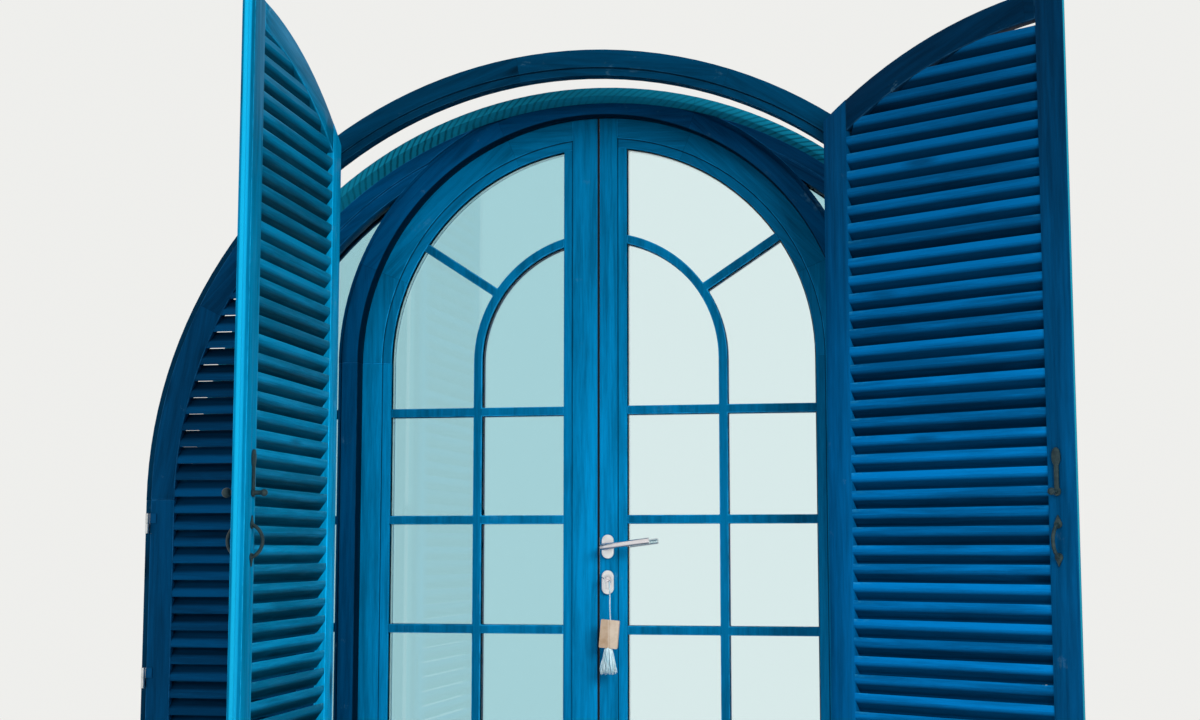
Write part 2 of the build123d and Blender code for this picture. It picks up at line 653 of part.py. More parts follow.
def leaf_rails(side, flat_x, sight_x):
    """The bottom rail and the arched head rail of one leaf."""
    back, bead_thick = bead_depths()
    with BuildPart() as bottom_rail:
        with BuildSketch(wall_plane(LEAF_Y1)):
            box_area(side * flat_x, side * GROOVE_RADIUS, LEAF_BOTTOM, RAIL_TOP)
        extrude(amount=LEAF_THICK)
        with BuildSketch(wall_plane(back)):
            box_area(side * flat_x, side * GROOVE_RADIUS, RAIL_TOP, GLASS_BOTTOM)
        extrude(amount=bead_thick)
        cut_glass_pocket(side, sight_x)
    with BuildPart() as head_rail:
        with BuildSketch(wall_plane(LEAF_Y1)):
            disc(LEAF_RADIUS, SPRING_Z)
            disc(GROOVE_RADIUS, SPRING_Z, mode=Mode.SUBTRACT)
            box_area(side * flat_x, side * FAR, SPRING_Z, FAR, mode=Mode.INTERSECT)
        extrude(amount=LEAF_THICK)
        with BuildSketch(wall_plane(back)):
            disc(GROOVE_RADIUS, SPRING_Z)
            disc(GLASS_RADIUS, SPRING_Z, mode=Mode.SUBTRACT)
            box_area(side * flat_x, side * FAR, SPRING_Z, FAR, mode=Mode.INTERSECT)
        extrude(amount=bead_thick)
        cut_glass_pocket(side, sight_x)
    return bottom_rail.part, head_rail.part


def leaf_bars(side, sight_x):
    """The glazing bars of one leaf, a grid on each face of the glass."""
    with BuildPart() as bars:
        for back in (GLASS_Y0, GLASS_Y1 + BAR_DEPTH):
            with BuildSketch(wall_plane(back)):
                disc(INNER_ARCH_RADIUS + BAR_WIDTH / 2, SPRING_Z)
                disc(INNER_ARCH_RADIUS - BAR_WIDTH / 2, SPRING_Z, mode=Mode.SUBTRACT)
                box_area(0, side * FAR, SPRING_Z, FAR, mode=Mode.INTERSECT)
                upright = side * INNER_ARCH_RADIUS
                box_area(upright - BAR_WIDTH / 2, upright + BAR_WIDTH / 2, GLASS_BOTTOM, SPRING_Z)
                for row in range(BAR_ROWS):
                    bar_z = TOP_BAR_Z - row * BAR_PITCH
                    box_area(0, side * FAR, bar_z - BAR_WIDTH / 2, bar_z + BAR_WIDTH / 2)
                ray_start = INNER_ARCH_RADIUS
                ray_mid = (ray_start + GLASS_RADIUS + BEAD_WIDTH) / 2
                turn = radians(RAY_ANGLE)
                with Locations((side * ray_mid * cos(turn), SPRING_Z + ray_mid * sin(turn))):
                    ray_length = GLASS_RADIUS + BEAD_WIDTH - ray_start
                    Rectangle(ray_length, BAR_WIDTH, rotation=side * RAY_ANGLE)
                with BuildSketch(mode=Mode.PRIVATE) as opening:
                    glass_area(side, sight_x, 0)
                add(opening.sketch, mode=Mode.INTERSECT)
            extrude(amount=BAR_DEPTH)
    return bars.part


def leaf_glass(side, sight_x):
    """The two panes of one leaf."""
    with BuildPart() as glass:
        for back in (GLASS_Y0 + PANE_THICK, GLASS_Y1):
            with BuildSketch(wall_plane(back)):
                glass_area(side, sight_x, GLASS_REBATE - GLASS_EDGE_GAP)
            extrude(amount=PANE_THICK)
    return glass.part


def leaf_spacer(side, sight_x):
    """The metal spacer between the panes, which shows just inside the bead."""
    with BuildPart() as spacer:
        with BuildSketch(wall_plane(GLASS_Y1 - PANE_THICK)):
            glass_area(side, sight_x, GLASS_REBATE - GLASS_EDGE_GAP - SPACER_EDGE)
            with BuildSketch(mode=Mode.PRIVATE) as inside:
                glass_area(side, sight_x, -SPACER_SIGHT)
            add(inside.sketch, mode=Mode.SUBTRACT)
        extrude(amount=CAVITY)
    return spacer.part


LEAVES = (
    ("left", -1, MEETING_HALF_GAP + PASSIVE_FLAT),
    ("right", 1, MEETING_HALF_GAP + ACTIVE_FLAT),
)
for leaf_name, leaf_side, leaf_flat in LEAVES:
    leaf_sight = leaf_flat + BEAD_WIDTH
    save("door_" + leaf_name + "_stiles", Compound(children=list(leaf_stiles(leaf_side, leaf_flat, leaf_sight))))
    save("door_" + leaf_name + "_rails", Compound(children=list(leaf_rails(leaf_side, leaf_flat, leaf_sight))))
    save("door_" + leaf_name + "_bars", Compound(children=leaf_bars(leaf_side, leaf_sight).solids()))
    save("door_" + leaf_name + "_glass", Compound(children=leaf_glass(leaf_side, leaf_sight).solids()))
    save("door_" + leaf_name + "_spacer", leaf_spacer(leaf_side, leaf_sight))


# Door hinges on the room side: the lower half with its pin on the post, the upper on the leaf
def door_hinge_halves(side):
    """All lower halves and all upper halves of one leaf's hinges."""
    axis_x = side * DOOR_PIVOT_X
    lower = []
    upper = []
    for level in DOOR_HINGE_Z:
        with BuildPart() as low:
            with BuildSketch(Plane.XY.offset(level - HINGE_HALF)):
                with Locations((axis_x, DOOR_PIVOT_Y)):
                    Circle(HINGE_BARREL_R)
                flap_in = axis_x + side * HINGE_BARREL_R / 2
                box_area(flap_in, flap_in + side * FLAP_WIDTH, LEAF_Y1, LEAF_Y1 + FLAP_THICK)
            extrude(amount=HINGE_HALF)
            with BuildSketch(Plane.XY.offset(level)):
                with Locations((axis_x, DOOR_PIVOT_Y)):
                    Circle(HINGE_PIN_R)
            extrude(amount=HINGE_HALF)
        with BuildPart() as high:
            with BuildSketch(Plane.XY.offset(level + HINGE_SPLIT)):
                with Locations((axis_x, DOOR_PIVOT_Y)):
                    Circle(HINGE_BARREL_R)
                flap_out = axis_x - side * HINGE_BARREL_R / 2
                box_area(flap_out - side * FLAP_WIDTH, flap_out, LEAF_Y1, LEAF_Y1 + FLAP_THICK)
                with Locations((axis_x, DOOR_PIVOT_Y)):
                    Circle(HINGE_PIN_R + HINGE_FIT, mode=Mode.SUBTRACT)
            extrude(amount=HINGE_HALF)
        lower.append(low.part)
        upper.append(high.part)
    return lower, upper


left_lower, left_upper = door_hinge_halves(-1)
right_lower, right_upper = door_hinge_halves(1)
save("door_frame_hinges", Compound(children=left_lower + right_lower))
save("door_left_hinges", Compound(children=left_upper))
save("door_right_hinges", Compound(children=right_upper))

# Strike plate, flush bolts and seal on the passive leaf
with BuildPart() as strike_plate:
    with BuildSketch(Plane.YZ.offset(-MEETING_HALF_GAP)):
        strike_area(POCKET_PLAY)
    extrude(amount=-STRIKE_THICK)
    with BuildSketch(Plane.YZ.offset(-MEETING_HALF_GAP)):
        dead_area(BOLT_PLAY)
        latch_area(BOLT_PLAY)
    extrude(amount=-STRIKE_THICK, mode=Mode.SUBTRACT)
save("strike_plate", strike_plate.part)

FLUSH_TOP_Z = SPRING_Z + sqrt(LEAF_RADIUS ** 2 - FLUSH_BOLT_X ** 2) - FLUSH_BOLT_SUNK
FLUSH_BOLTS = (("flush_bolt_bottom", LEAF_BOTTOM), ("flush_bolt_top", FLUSH_TOP_Z - FLUSH_BOLT_ROD))
for bolt_name, bolt_z in FLUSH_BOLTS:
    with BuildPart() as flush_bolt:
        with BuildSketch(Plane.XY.offset(bolt_z)):
            with Locations((-FLUSH_BOLT_X, LOCK_MID_Y)):
                Circle(FLUSH_BOLT_R)
        extrude(amount=FLUSH_BOLT_ROD)
    save(bolt_name, flush_bolt.part)

with BuildPart() as meeting_seal:
    seal_bottom = LEVER_Z + LATCH_HEIGHT + 2 * STRIKE_MARGIN
    with BuildSketch(Plane.XY.offset(seal_bottom)):
        with Locations((-MEETING_HALF_GAP + SEAL_PROUD / 2, LOCK_MID_Y)):
            Rectangle(SEAL_PROUD, SEAL_WIDTH)
    extrude(amount=SPRING_Z + GLASS_RADIUS - seal_bottom)
save("meeting_seal", meeting_seal.part)

# Mortise lock: forend, case, latch bolt, deadbolt
with BuildPart() as lock_case:
    case_low = KEY_Z - CASE_BOTTOM
    case_high = LEVER_Z + CASE_TOP
    with BuildSketch(Plane.YZ.offset(MEETING_HALF_GAP)):
        box_area(LOCK_MID_Y - CASE_THICK / 2, LOCK_MID_Y + CASE_THICK / 2, case_low, case_high)
    extrude(amount=CASE_DEPTH)
    with BuildSketch(Plane.YZ.offset(MEETING_HALF_GAP)):
        forend_half = FOREND_WIDTH / 2
        forend_low = case_low - FOREND_EXTRA + POCKET_PLAY
        box_area(LOCK_MID_Y - forend_half, LOCK_MID_Y + forend_half, forend_low, case_high + FOREND_EXTRA - POCKET_PLAY)
    extrude(amount=FOREND_THICK)
    with BuildSketch(Plane.YZ.offset(MEETING_HALF_GAP)):
        latch_area(BOLT_PLAY)
    extrude(amount=LATCH_LENGTH + BOLT_PLAY, mode=Mode.SUBTRACT)
    with BuildSketch(Plane.YZ.offset(MEETING_HALF_GAP)):
        dead_area(BOLT_PLAY)
    extrude(amount=DEAD_LENGTH + FOREND_THICK, mode=Mode.SUBTRACT)
    with BuildSketch(wall_plane(LEAF_Y1)):
        with Locations((LOCK_X, LEVER_Z)):
            Circle(SPINDLE)
        cylinder_area(POCKET_PLAY)
    extrude(amount=LEAF_THICK, mode=Mode.SUBTRACT)
save("lock_case", lock_case.part)

with BuildPart() as latch_bolt:
    with BuildSketch(Plane.YZ.offset(MEETING_HALF_GAP - LATCH_OUT)):
        latch_area(0)
    extrude(amount=LATCH_LENGTH)
save("latch_bolt", latch_bolt.part)

with BuildPart() as deadbolt:
    with BuildSketch(Plane.YZ.offset(MEETING_HALF_GAP + BOLT_PLAY)):
        dead_area(0)
    extrude(amount=DEAD_LENGTH)
save("deadbolt", deadbolt.part)


# Roses, cylinder, lever set and key
def rose(level, back, cut_lever):
    """One oval rose whose back face lies at the given depth."""
    with BuildPart() as plate:
        with BuildSketch(wall_plane(back)):
            with Locations((LOCK_X, level)):
                SlotOverall(ROSE_HEIGHT, ROSE_WIDTH, rotation=90)
                if cut_lever:
                    Circle(NECK_R + NECK_FIT, mode=Mode.SUBTRACT)
        extrude(amount=ROSE_THICK)
        if not cut_lever:
            with BuildSketch(wall_plane(back)):
                cylinder_area(POCKET_PLAY)
            extrude(amount=ROSE_THICK, mode=Mode.SUBTRACT)
    return plate.part


ROSE_IN_BACK = LEAF_Y1 + ROSE_THICK
ROSE_SHIFT = (ROSE_HEIGHT - ROSE_WIDTH) / 4
roses = [
    rose(LEVER_Z, LEAF_Y0, True),
    rose(KEY_Z - ROSE_SHIFT, LEAF_Y0, False),
    rose(LEVER_Z, ROSE_IN_BACK, True),
    rose(KEY_Z - ROSE_SHIFT, ROSE_IN_BACK, False),
]
save("lock_roses", Compound(children=roses))

CYLINDER_FRONT_Y = LEAF_Y0 - ROSE_THICK - CYLINDER_PROUD
CYLINDER_BACK_Y = LEAF_Y1 + ROSE_THICK + CYLINDER_PROUD
with BuildPart() as lock_cylinder:
    with BuildSketch(wall_plane(CYLINDER_BACK_Y)):
        cylinder_area(0)
    extrude(amount=CYLINDER_BACK_Y - CYLINDER_FRONT_Y)
    with BuildSketch(wall_plane(CYLINDER_FRONT_Y + PLUG_LENGTH)):
        with Locations((LOCK_X, KEY_Z)):
            Circle(PLUG_R + HINGE_FIT)
    extrude(amount=PLUG_LENGTH, mode=Mode.SUBTRACT)
save("lock_cylinder", lock_cylinder.part)

LEVER_OUT_Y = LEAF_Y0 - LEVER_STAND
LEVER_IN_Y = LEAF_Y1 + LEVER_STAND


def grip_plane(depth):
    """The plane across a lever's grip, at the free end of its tail."""
    lean = radians(LEVER_TILT)
    along = (cos(lean), 0, sin(lean))
    start = (LOCK_X - LEVER_TAIL * cos(lean), depth, LEVER_Z - LEVER_TAIL * sin(lean))
    return Plane(origin=start, x_dir=(0, 1, 0), z_dir=along)


with BuildPart() as lever_handles:
    for neck_from, neck_to in ((LEAF_Y0, LEVER_OUT_Y), (LEVER_IN_Y, LEAF_Y1)):
        with BuildSketch(wall_plane(neck_from)):
            with Locations((LOCK_X, LEVER_Z)):
                Circle(NECK_R)
        extrude(amount=neck_from - neck_to)
    with BuildSketch(wall_plane(LEAF_Y1)):
        with Locations((LOCK_X, LEVER_Z)):
            Rectangle(SPINDLE, SPINDLE)
    extrude(amount=LEAF_THICK)
    for grip_y in (LEVER_OUT_Y, LEVER_IN_Y):
        with BuildSketch(grip_plane(grip_y)):
            Circle(LEVER_R)
        extrude(amount=LEVER_TAIL + LEVER_REACH)
save("lever_handles", lever_handles.part)

KEY_FRONT_Y = CYLINDER_FRONT_Y
BOW_Y = KEY_FRONT_Y - KEY_SHANK - KEY_BOW_R
FOB_TIE_Y = BOW_Y - TIE_REACH
FOB_Y = BOW_Y - KEY_BOW_R - FOB_CLEAR
bow_lean = radians(KEY_TURN)
FOB_X = LOCK_X + KEY_HANG * sin(bow_lean)
FOB_Z = KEY_Z - KEY_HANG * cos(bow_lean)
with BuildPart() as key:
    with BuildSketch(wall_plane(KEY_FRONT_Y + PLUG_LENGTH - 1)):
        with Locations((LOCK_X, KEY_Z)):
            Circle(PLUG_R)
    extrude(amount=PLUG_LENGTH - 1)
    bow_plane = Plane(
        origin=(LOCK_X, KEY_FRONT_Y, KEY_Z), x_dir=(0, -1, 0), z_dir=(cos(bow_lean), 0, sin(bow_lean))
    )
    with BuildSketch(bow_plane):
        box_area(-1, KEY_SHANK + 2, -KEY_SHANK / 2, KEY_SHANK / 2)
        with Locations((KEY_SHANK + KEY_BOW_R, 0)):
            Ellipse(KEY_BOW_R, KEY_BOW_R * 1.25)
        with Locations((KEY_SHANK + KEY_BOW_R, KEY_BOW_R / 2)):
            Circle(KEY_HOLE_R, mode=Mode.SUBTRACT)
    extrude(amount=KEY_THICK / 2, both=True)
    with BuildSketch(wall_plane(BOW_Y)):
        with Locations((FOB_X, FOB_Z)):
            Circle(STRING_R)
    extrude(amount=BOW_Y - FOB_TIE_Y)
save("key", key.part)

# The fob's string leaves the key's eye towards the front and then hangs down
TAG_TOP_Z = FOB_Z - STRING_LENGTH
TAG_X = FOB_X + STRING_DRIFT
STRING_POINTS = [
    (FOB_X, FOB_TIE_Y, FOB_Z),
    (FOB_X, FOB_Y, FOB_Z),
    (FOB_X + 0.7 * STRING_DRIFT, FOB_Y, FOB_Z - 0.35 * STRING_LENGTH),
    (FOB_X + 0.4 * STRING_DRIFT, FOB_Y, FOB_Z - 0.7 * STRING_LENGTH),
    (TAG_X, FOB_Y, TAG_TOP_Z - STRING_IN_TAG),
]


def cord_radii(points):
    """The largest arc that fits each corner of a cord's route."""
    radii = []
    corners = [Vector(*point) for point in points]
    for before, here, after in zip(corners, corners[1:], corners[2:]):
        run_in = here - before
        run_out = after - here
        turn = radians(run_in.get_angle(run_out))
        radii.append(0.45 * min(run_in.length, run_out.length) / tan(turn / 2))
    return radii


with BuildPart() as key_string:
    string_radii = cord_radii(STRING_POINTS)
    print("string radii", [round(radius, 1) for radius in string_radii])
    with BuildLine() as string_path:
        FilletPolyline(*STRING_POINTS, radius=string_radii)
    with BuildSketch(Plane(origin=string_path.line @ 0, z_dir=string_path.line % 0)):
        Circle(STRING_R)
    sweep(path=string_path.line)
save("key_string", key_string.part)

tag_down = Vector(-sin(radians(TAG_LEAN)), 0, -cos(radians(TAG_LEAN)))
tag_top = Vector(TAG_X, FOB_Y, TAG_TOP_Z)
tag_middle = tag_top + tag_down * (TAG_HEIGHT / 2)
tag_end = tag_top + tag_down * (TAG_HEIGHT - TASSEL_NECK_R)
with BuildPart() as key_tassel:
    for depth, radius in ((0, TASSEL_NECK_R), (TASSEL_LENGTH * 0.35, TASSEL_R * 0.75), (TASSEL_LENGTH, TASSEL_R)):
        with BuildSketch(Plane(origin=tag_end - Vector(0, 0, depth), z_dir=(0, 0, 1))):
            Circle(radius)
    loft(ruled=True)
save("key_tassel", key_tassel.part)

with BuildPart() as key_tag:
    with BuildSketch(wall_plane(FOB_Y + TAG_THICK / 2)):
        with Locations((tag_middle.X, tag_middle.Z)):
            RectangleRounded(TAG_WIDTH, TAG_HEIGHT, TAG_CORNER, rotation=-TAG_LEAN)
    extrude(amount=TAG_THICK)
    add(key_string.part, mode=Mode.SUBTRACT)
    add(key_tassel.part, mode=Mode.SUBTRACT)
save("key_tag", key_tag.part)


# Shutters: each panel is drawn closed and turned about its fold line
def panel_plane(side, turn, y):
    """The plane in which a panel's closed outline is drawn, at depth y of the closed panel."""
    along = (cos(radians(turn)), sin(radians(turn)), 0)
    outwards = (sin(radians(turn)), -cos(radians(turn)), 0)
    fold = Vector(side * FOLD_X, PIVOT_Y, 0)
    origin = fold - Vector(*along) * side * FOLD_X - Vector(*outwards) * (y - PIVOT_Y)
    return Plane(origin=origin, x_dir=along, z_dir=outwards)


def panel_limits(inner):
    """The distances from the middle of a panel's two upright edges."""
    if inner:
        return MEETING_GAP / 2, FOLD_X - FOLD_HALF_GAP
    return FOLD_X + FOLD_HALF_GAP, SHUTTER_RADIUS


def arch_cap(side, x0, x1, radius, mode=Mode.INTERSECT):
    """Keep what lies between two uprights and under an arc of the shutters' centre."""
    with BuildSketch(mode=Mode.PRIVATE) as cap:
        disc(radius, OUTER_CENTRE_Z)
        box_area(-radius, radius, 0, OUTER_CENTRE_Z)
        box_area(side * x0, side * x1, 0, FAR, mode=Mode.INTERSECT)
    add(cap.sketch, mode=mode)


def shutter_stiles(side, turn, inner):
    """The two uprights of a panel."""
    near, far = panel_limits(inner)
    stiles = []
    for x0, x1 in ((near, near + STILE_WIDTH), (far - STILE_WIDTH, far)):
        with BuildPart() as stile:
            with BuildSketch(panel_plane(side, turn, SHUTTER_IN_Y)):
                box_area(side * x0, side * x1, SHUTTER_BOTTOM, FAR)
                if not inner and x1 == far:
                    box_area(side * x0, side * x1, OUTER_CENTRE_Z, FAR, mode=Mode.SUBTRACT)
                else:
                    arch_cap(side, x0, x1, SHUTTER_RADIUS)
            extrude(amount=SHUTTER_THICK)
            if inner and x0 == near and side < 0:
                add_meeting_tongue(turn, near)
            if inner and x0 == near and side > 0:
                cut_meeting_rebate(turn, near)
            if inner and x0 == near:
                cut_latch_bore(side, turn)
        stiles.append(stile.part)
    return stiles


def add_meeting_tongue(turn, near):
    """The outer half of the left panel's free edge, which laps over the right panel."""
    half = SHUTTER_THICK / 2
    with BuildSketch(panel_plane(-1, turn, SHUTTER_IN_Y - half)) as area:
        box_area(-near, MEETING_LAP - near, SHUTTER_BOTTOM, FAR)
        arch_cap(1, -near, MEETING_LAP - near, SHUTTER_RADIUS)
    extrude(area.sketch, amount=half)


def cut_meeting_rebate(turn, near):
    """The rebate in the right panel's free edge that takes the left panel's tongue."""
    half = SHUTTER_THICK / 2
    with BuildSketch(panel_plane(1, turn, SHUTTER_IN_Y - half + LAP_CLEAR)) as area:
        box_area(near, near + MEETING_LAP, 0, FAR)
    extrude(area.sketch, amount=half + LAP_CLEAR, mode=Mode.SUBTRACT)


def cut_latch_bore(side, turn):
    """The bore of the latch spindle through the stile."""
    with BuildSketch(panel_plane(side, turn, SHUTTER_IN_Y)) as area:
        with Locations((side * FURNITURE_INSET, LATCH_PIVOT_Z)):
            Circle(LATCH_SPINDLE_R + LATCH_FIT)
    extrude(area.sketch, amount=SHUTTER_THICK, mode=Mode.SUBTRACT)


def shutter_rails(side, turn, inner):
    """The bottom rail and the arched head rail of a panel."""
    near, far = panel_limits(inner)
    x0 = near + STILE_WIDTH
    x1 = far - STILE_WIDTH
    with BuildPart() as bottom_rail:
        with BuildSketch(panel_plane(side, turn, SHUTTER_IN_Y)):
            box_area(side * x0, side * x1, SHUTTER_BOTTOM, SLAT_FIELD_BOTTOM)
        extrude(amount=SHUTTER_THICK)
    with BuildPart() as head_rail:
        with BuildSketch(panel_plane(side, turn, SHUTTER_IN_Y)):
            disc(SHUTTER_RADIUS, OUTER_CENTRE_Z)
            disc(SLAT_FIELD_RADIUS, OUTER_CENTRE_Z, mode=Mode.SUBTRACT)
            reach = x1 if inner else SHUTTER_RADIUS
            box_area(side * x0, side * reach, OUTER_CENTRE_Z, FAR, mode=Mode.INTERSECT)
        extrude(amount=SHUTTER_THICK)
    return [bottom_rail.part, head_rail.part]


def side_plane(side, turn, x, y):
    """The plane across a panel at distance x from the middle: first axis outwards, second up."""
    base = panel_plane(side, turn, y)
    start = base.from_local_coords(Vector(side * x, 0, 0))
    return Plane(origin=start, x_dir=base.z_dir, z_dir=base.x_dir * -1)


def slat_levels(x0):
    """The heights of a panel's slats, as far up as the arc leaves room for one."""
    rise = (SHUTTER_THICK / 2 - SLAT_INSET) * tan(radians(SLAT_SLOPE))
    first = SLAT_FIELD_BOTTOM + rise + SLAT_EDGE / 2
    top = OUTER_CENTRE_Z + sqrt(SLAT_FIELD_RADIUS ** 2 - (x0 + SLAT_SHORTEST) ** 2)
    count = int((top - first - rise - SLAT_EDGE / 2) / SLAT_PITCH) + 1
    return [first + row * SLAT_PITCH for row in range(count)]


def shutter_slats(side, turn, inner):
    """The fixed slats of a panel, sloping down to the outside and cut to the arc."""
    near, far = panel_limits(inner)
    x0 = near + STILE_WIDTH
    x1 = far - STILE_WIDTH
    half = SHUTTER_THICK / 2 - SLAT_INSET
    rise = half * tan(radians(SLAT_SLOPE))
    low = SLAT_EDGE / 2
    mid_y = (SHUTTER_IN_Y + SHUTTER_OUT_Y) / 2
    across = side_plane(side, turn, x0, mid_y)
    slats = []
    for level in slat_levels(x0):
        with BuildPart() as slat:
            with BuildSketch(across):
                with BuildLine():
                    Polyline(
                        (-half, level + rise - low),
                        (-half, level + rise + low - SLAT_NOSE),
                        (SLAT_NOSE - half, level + rise + low - SLAT_NOSE),
                        (half, level - rise + low),
                        (half, level - rise - low + SLAT_NOSE),
                        (half - SLAT_NOSE, level - rise - low + SLAT_NOSE),
                        close=True,
                    )
                make_face()
            extrude(amount=-side * (x1 - x0))
            corner = x1 ** 2 + max(0.0, level + rise + low - OUTER_CENTRE_Z) ** 2
            if corner > SLAT_FIELD_RADIUS ** 2:
                with BuildSketch(panel_plane(side, turn, SHUTTER_IN_Y)):
                    disc(SLAT_FIELD_RADIUS, OUTER_CENTRE_Z)
                    box_area(-SLAT_FIELD_RADIUS, SLAT_FIELD_RADIUS, SHUTTER_BOTTOM, OUTER_CENTRE_Z)
                extrude(amount=SHUTTER_THICK, mode=Mode.INTERSECT)
        slats.append(slat.part)
    return slats


PANELS = (
    ("outer_left", -1, 0.0, False),
    ("outer_right", 1, 0.0, False),
    ("inner_left", -1, LEFT_FOLD_ANGLE, True),
    ("inner_right", 1, RIGHT_FOLD_ANGLE, True),
)
for panel_name, panel_side, panel_turn, panel_inner in PANELS:
    panel = (panel_side, panel_turn, panel_inner)
    save("shutter_" + panel_name + "_stiles", Compound(children=shutter_stiles(*panel)))
    save("shutter_" + panel_name + "_rails", Compound(children=shutter_rails(*panel)))
    save("shutter_" + panel_name + "_slats", Compound(children=shutter_slats(*panel)))


# Shutter hinges: pinned lower knuckles, and upper knuckles that turn on the pins
def knuckle(side, turn, axis_x, level, pinned, plates):
    """One hinge half: a knuckle, its plates and, on the lower half, the pin."""
    with BuildPart() as half_hinge:
        start = level - KNUCKLE_HALF if pinned else level + HINGE_SPLIT
        base = panel_plane(side, turn, SHUTTER_OUT_Y)
        origin = base.from_local_coords(Vector(side * axis_x, 0, KNUCKLE_STAND))
        foot = Plane(origin=origin + Vector(0, 0, start), x_dir=base.x_dir, z_dir=(0, 0, 1))
        with BuildSketch(foot):
            Circle(KNUCKLE_R)
            for u0, u1, v0, v1 in plates:
                box_area(side * u0, side * u1, v0, v1)
            if not pinned:
                Circle(KNUCKLE_PIN_R + HINGE_FIT, mode=Mode.SUBTRACT)
        extrude(amount=KNUCKLE_HALF)
        if pinned:
            with BuildSketch(foot.offset(KNUCKLE_HALF)):
                Circle(KNUCKLE_PIN_R)
            extrude(amount=KNUCKLE_HALF)
    return half_hinge.part


PLATE_REST = (KNUCKLE_STAND - PLATE_THICK, KNUCKLE_STAND)
PLATE_IN = ((-PLATE_WIDTH, -KNUCKLE_R / 2) + PLATE_REST,)
PLATE_OUT = ((KNUCKLE_R / 2, PLATE_WIDTH) + PLATE_REST,)
CRANK_REACH = PIVOT_Y * -1 + OUTER_FRONT_Y
CRANK = (
    (-PLATE_THICK / 2, PLATE_THICK / 2, 0, CRANK_REACH),
    (-PLATE_THICK / 2, PLATE_WIDTH, CRANK_REACH - PLATE_THICK, CRANK_REACH),
)
jamb_halves = []
for panel_name, panel_side, panel_turn, panel_inner in PANELS:
    halves = []
    for fold_level in FOLD_HINGE_Z:
        if panel_inner:
            halves.append(knuckle(panel_side, panel_turn, FOLD_X, fold_level, False, PLATE_IN))
        else:
            halves.append(knuckle(panel_side, panel_turn, FOLD_X, fold_level, True, PLATE_OUT))
    if not panel_inner:
        for jamb_level in JAMB_HINGE_Z:
            halves.append(knuckle(panel_side, panel_turn, JAMB_PIVOT_X, jamb_level, False, PLATE_IN))
            jamb_halves.append(knuckle(panel_side, 0, JAMB_PIVOT_X, jamb_level, True, CRANK))
    save("shutter_" + panel_name + "_hinges", Compound(children=halves))
save("shutter_jamb_hinges", Compound(children=jamb_halves))


# Shutter latch on its spindle, and the bow pulls on both faces of the inner panels
def shutter_latch(side, turn):
    """Spindle, spoon lever inside, short lever outside and a knob on each."""
    inside = SHUTTER_IN_Y + FACE_CLEAR + SPOON_THICK
    outside = SHUTTER_OUT_Y - FACE_CLEAR
    pivot = (side * FURNITURE_INSET, LATCH_PIVOT_Z)
    with BuildPart() as latch:
        with BuildSketch(panel_plane(side, turn, inside)):
            with Locations(pivot):
                Circle(LATCH_SPINDLE_R)
        extrude(amount=inside - outside)
        for depth, length in ((inside, SPOON_LENGTH), (outside, OUTER_LEVER)):
            with BuildSketch(panel_plane(side, turn, depth)):
                with Locations(pivot):
                    Circle(BACK_PLATE_R)
                top = LATCH_PIVOT_Z + length - SPOON_WIDTH / 2
                with Locations((side * FURNITURE_INSET, (LATCH_PIVOT_Z + top) / 2)):
                    Rectangle(SPOON_WIDTH / 2, top - LATCH_PIVOT_Z)
                with Locations((side * FURNITURE_INSET, top - SPOON_WIDTH / 2)):
                    Ellipse(SPOON_WIDTH / 2, SPOON_WIDTH)
            extrude(amount=SPOON_THICK)
        for depth, outwards, radius in ((inside, -1, INNER_KNOB_R), (outside - SPOON_THICK, 1, KNOB_R)):
            profile_plane = side_plane(side, turn, FURNITURE_INSET, depth)
            with BuildSketch(profile_plane):
                box_area(0, outwards * (KNOB_STAND + radius), LATCH_PIVOT_Z, LATCH_PIVOT_Z + LATCH_SPINDLE_R)
                with Locations((outwards * (KNOB_STAND + radius), LATCH_PIVOT_Z)):
                    Circle(radius)
                box_area(-FAR, FAR, LATCH_PIVOT_Z, FAR, mode=Mode.INTERSECT)
            axis_start = profile_plane.from_local_coords(Vector(0, LATCH_PIVOT_Z, 0))
            revolve(axis=Axis(axis_start, profile_plane.x_dir))
    return latch.part


def bow_pull(side, turn, depth, outwards):
    """One bow-shaped pull with a pointed finial above and below."""
    with BuildPart() as pull:
        with BuildSketch(panel_plane(side, turn, depth)):
            for end in (-1, 1):
                foot_z = PULL_Z + end * PULL_HEIGHT / 2
                with Locations((side * FURNITURE_INSET, foot_z)):
                    Circle(BACK_PLATE_R)
                with BuildLine():
                    Polyline(
                        (side * FURNITURE_INSET - BACK_PLATE_R, foot_z),
                        (side * FURNITURE_INSET + BACK_PLATE_R, foot_z),
                        (side * FURNITURE_INSET, foot_z + end * FINIAL),
                        close=True,
                    )
                make_face()
        extrude(amount=outwards * BACK_PLATE_THICK)
        with BuildLine(side_plane(side, turn, FURNITURE_INSET, depth)) as bow:
            start = outwards * BACK_PLATE_THICK / 2
            ThreePointArc(
                (start, PULL_Z - PULL_HEIGHT / 2),
                (outwards * PULL_STAND, PULL_Z),
                (start, PULL_Z + PULL_HEIGHT / 2),
            )
        with BuildSketch(Plane(origin=bow.line @ 0, z_dir=bow.line % 0)):
            Circle(PULL_ROD_R)
        sweep(path=bow.line)
        split(bisect_by=panel_plane(side, turn, depth), keep=Keep.TOP if outwards > 0 else Keep.BOTTOM)
    return pull.part


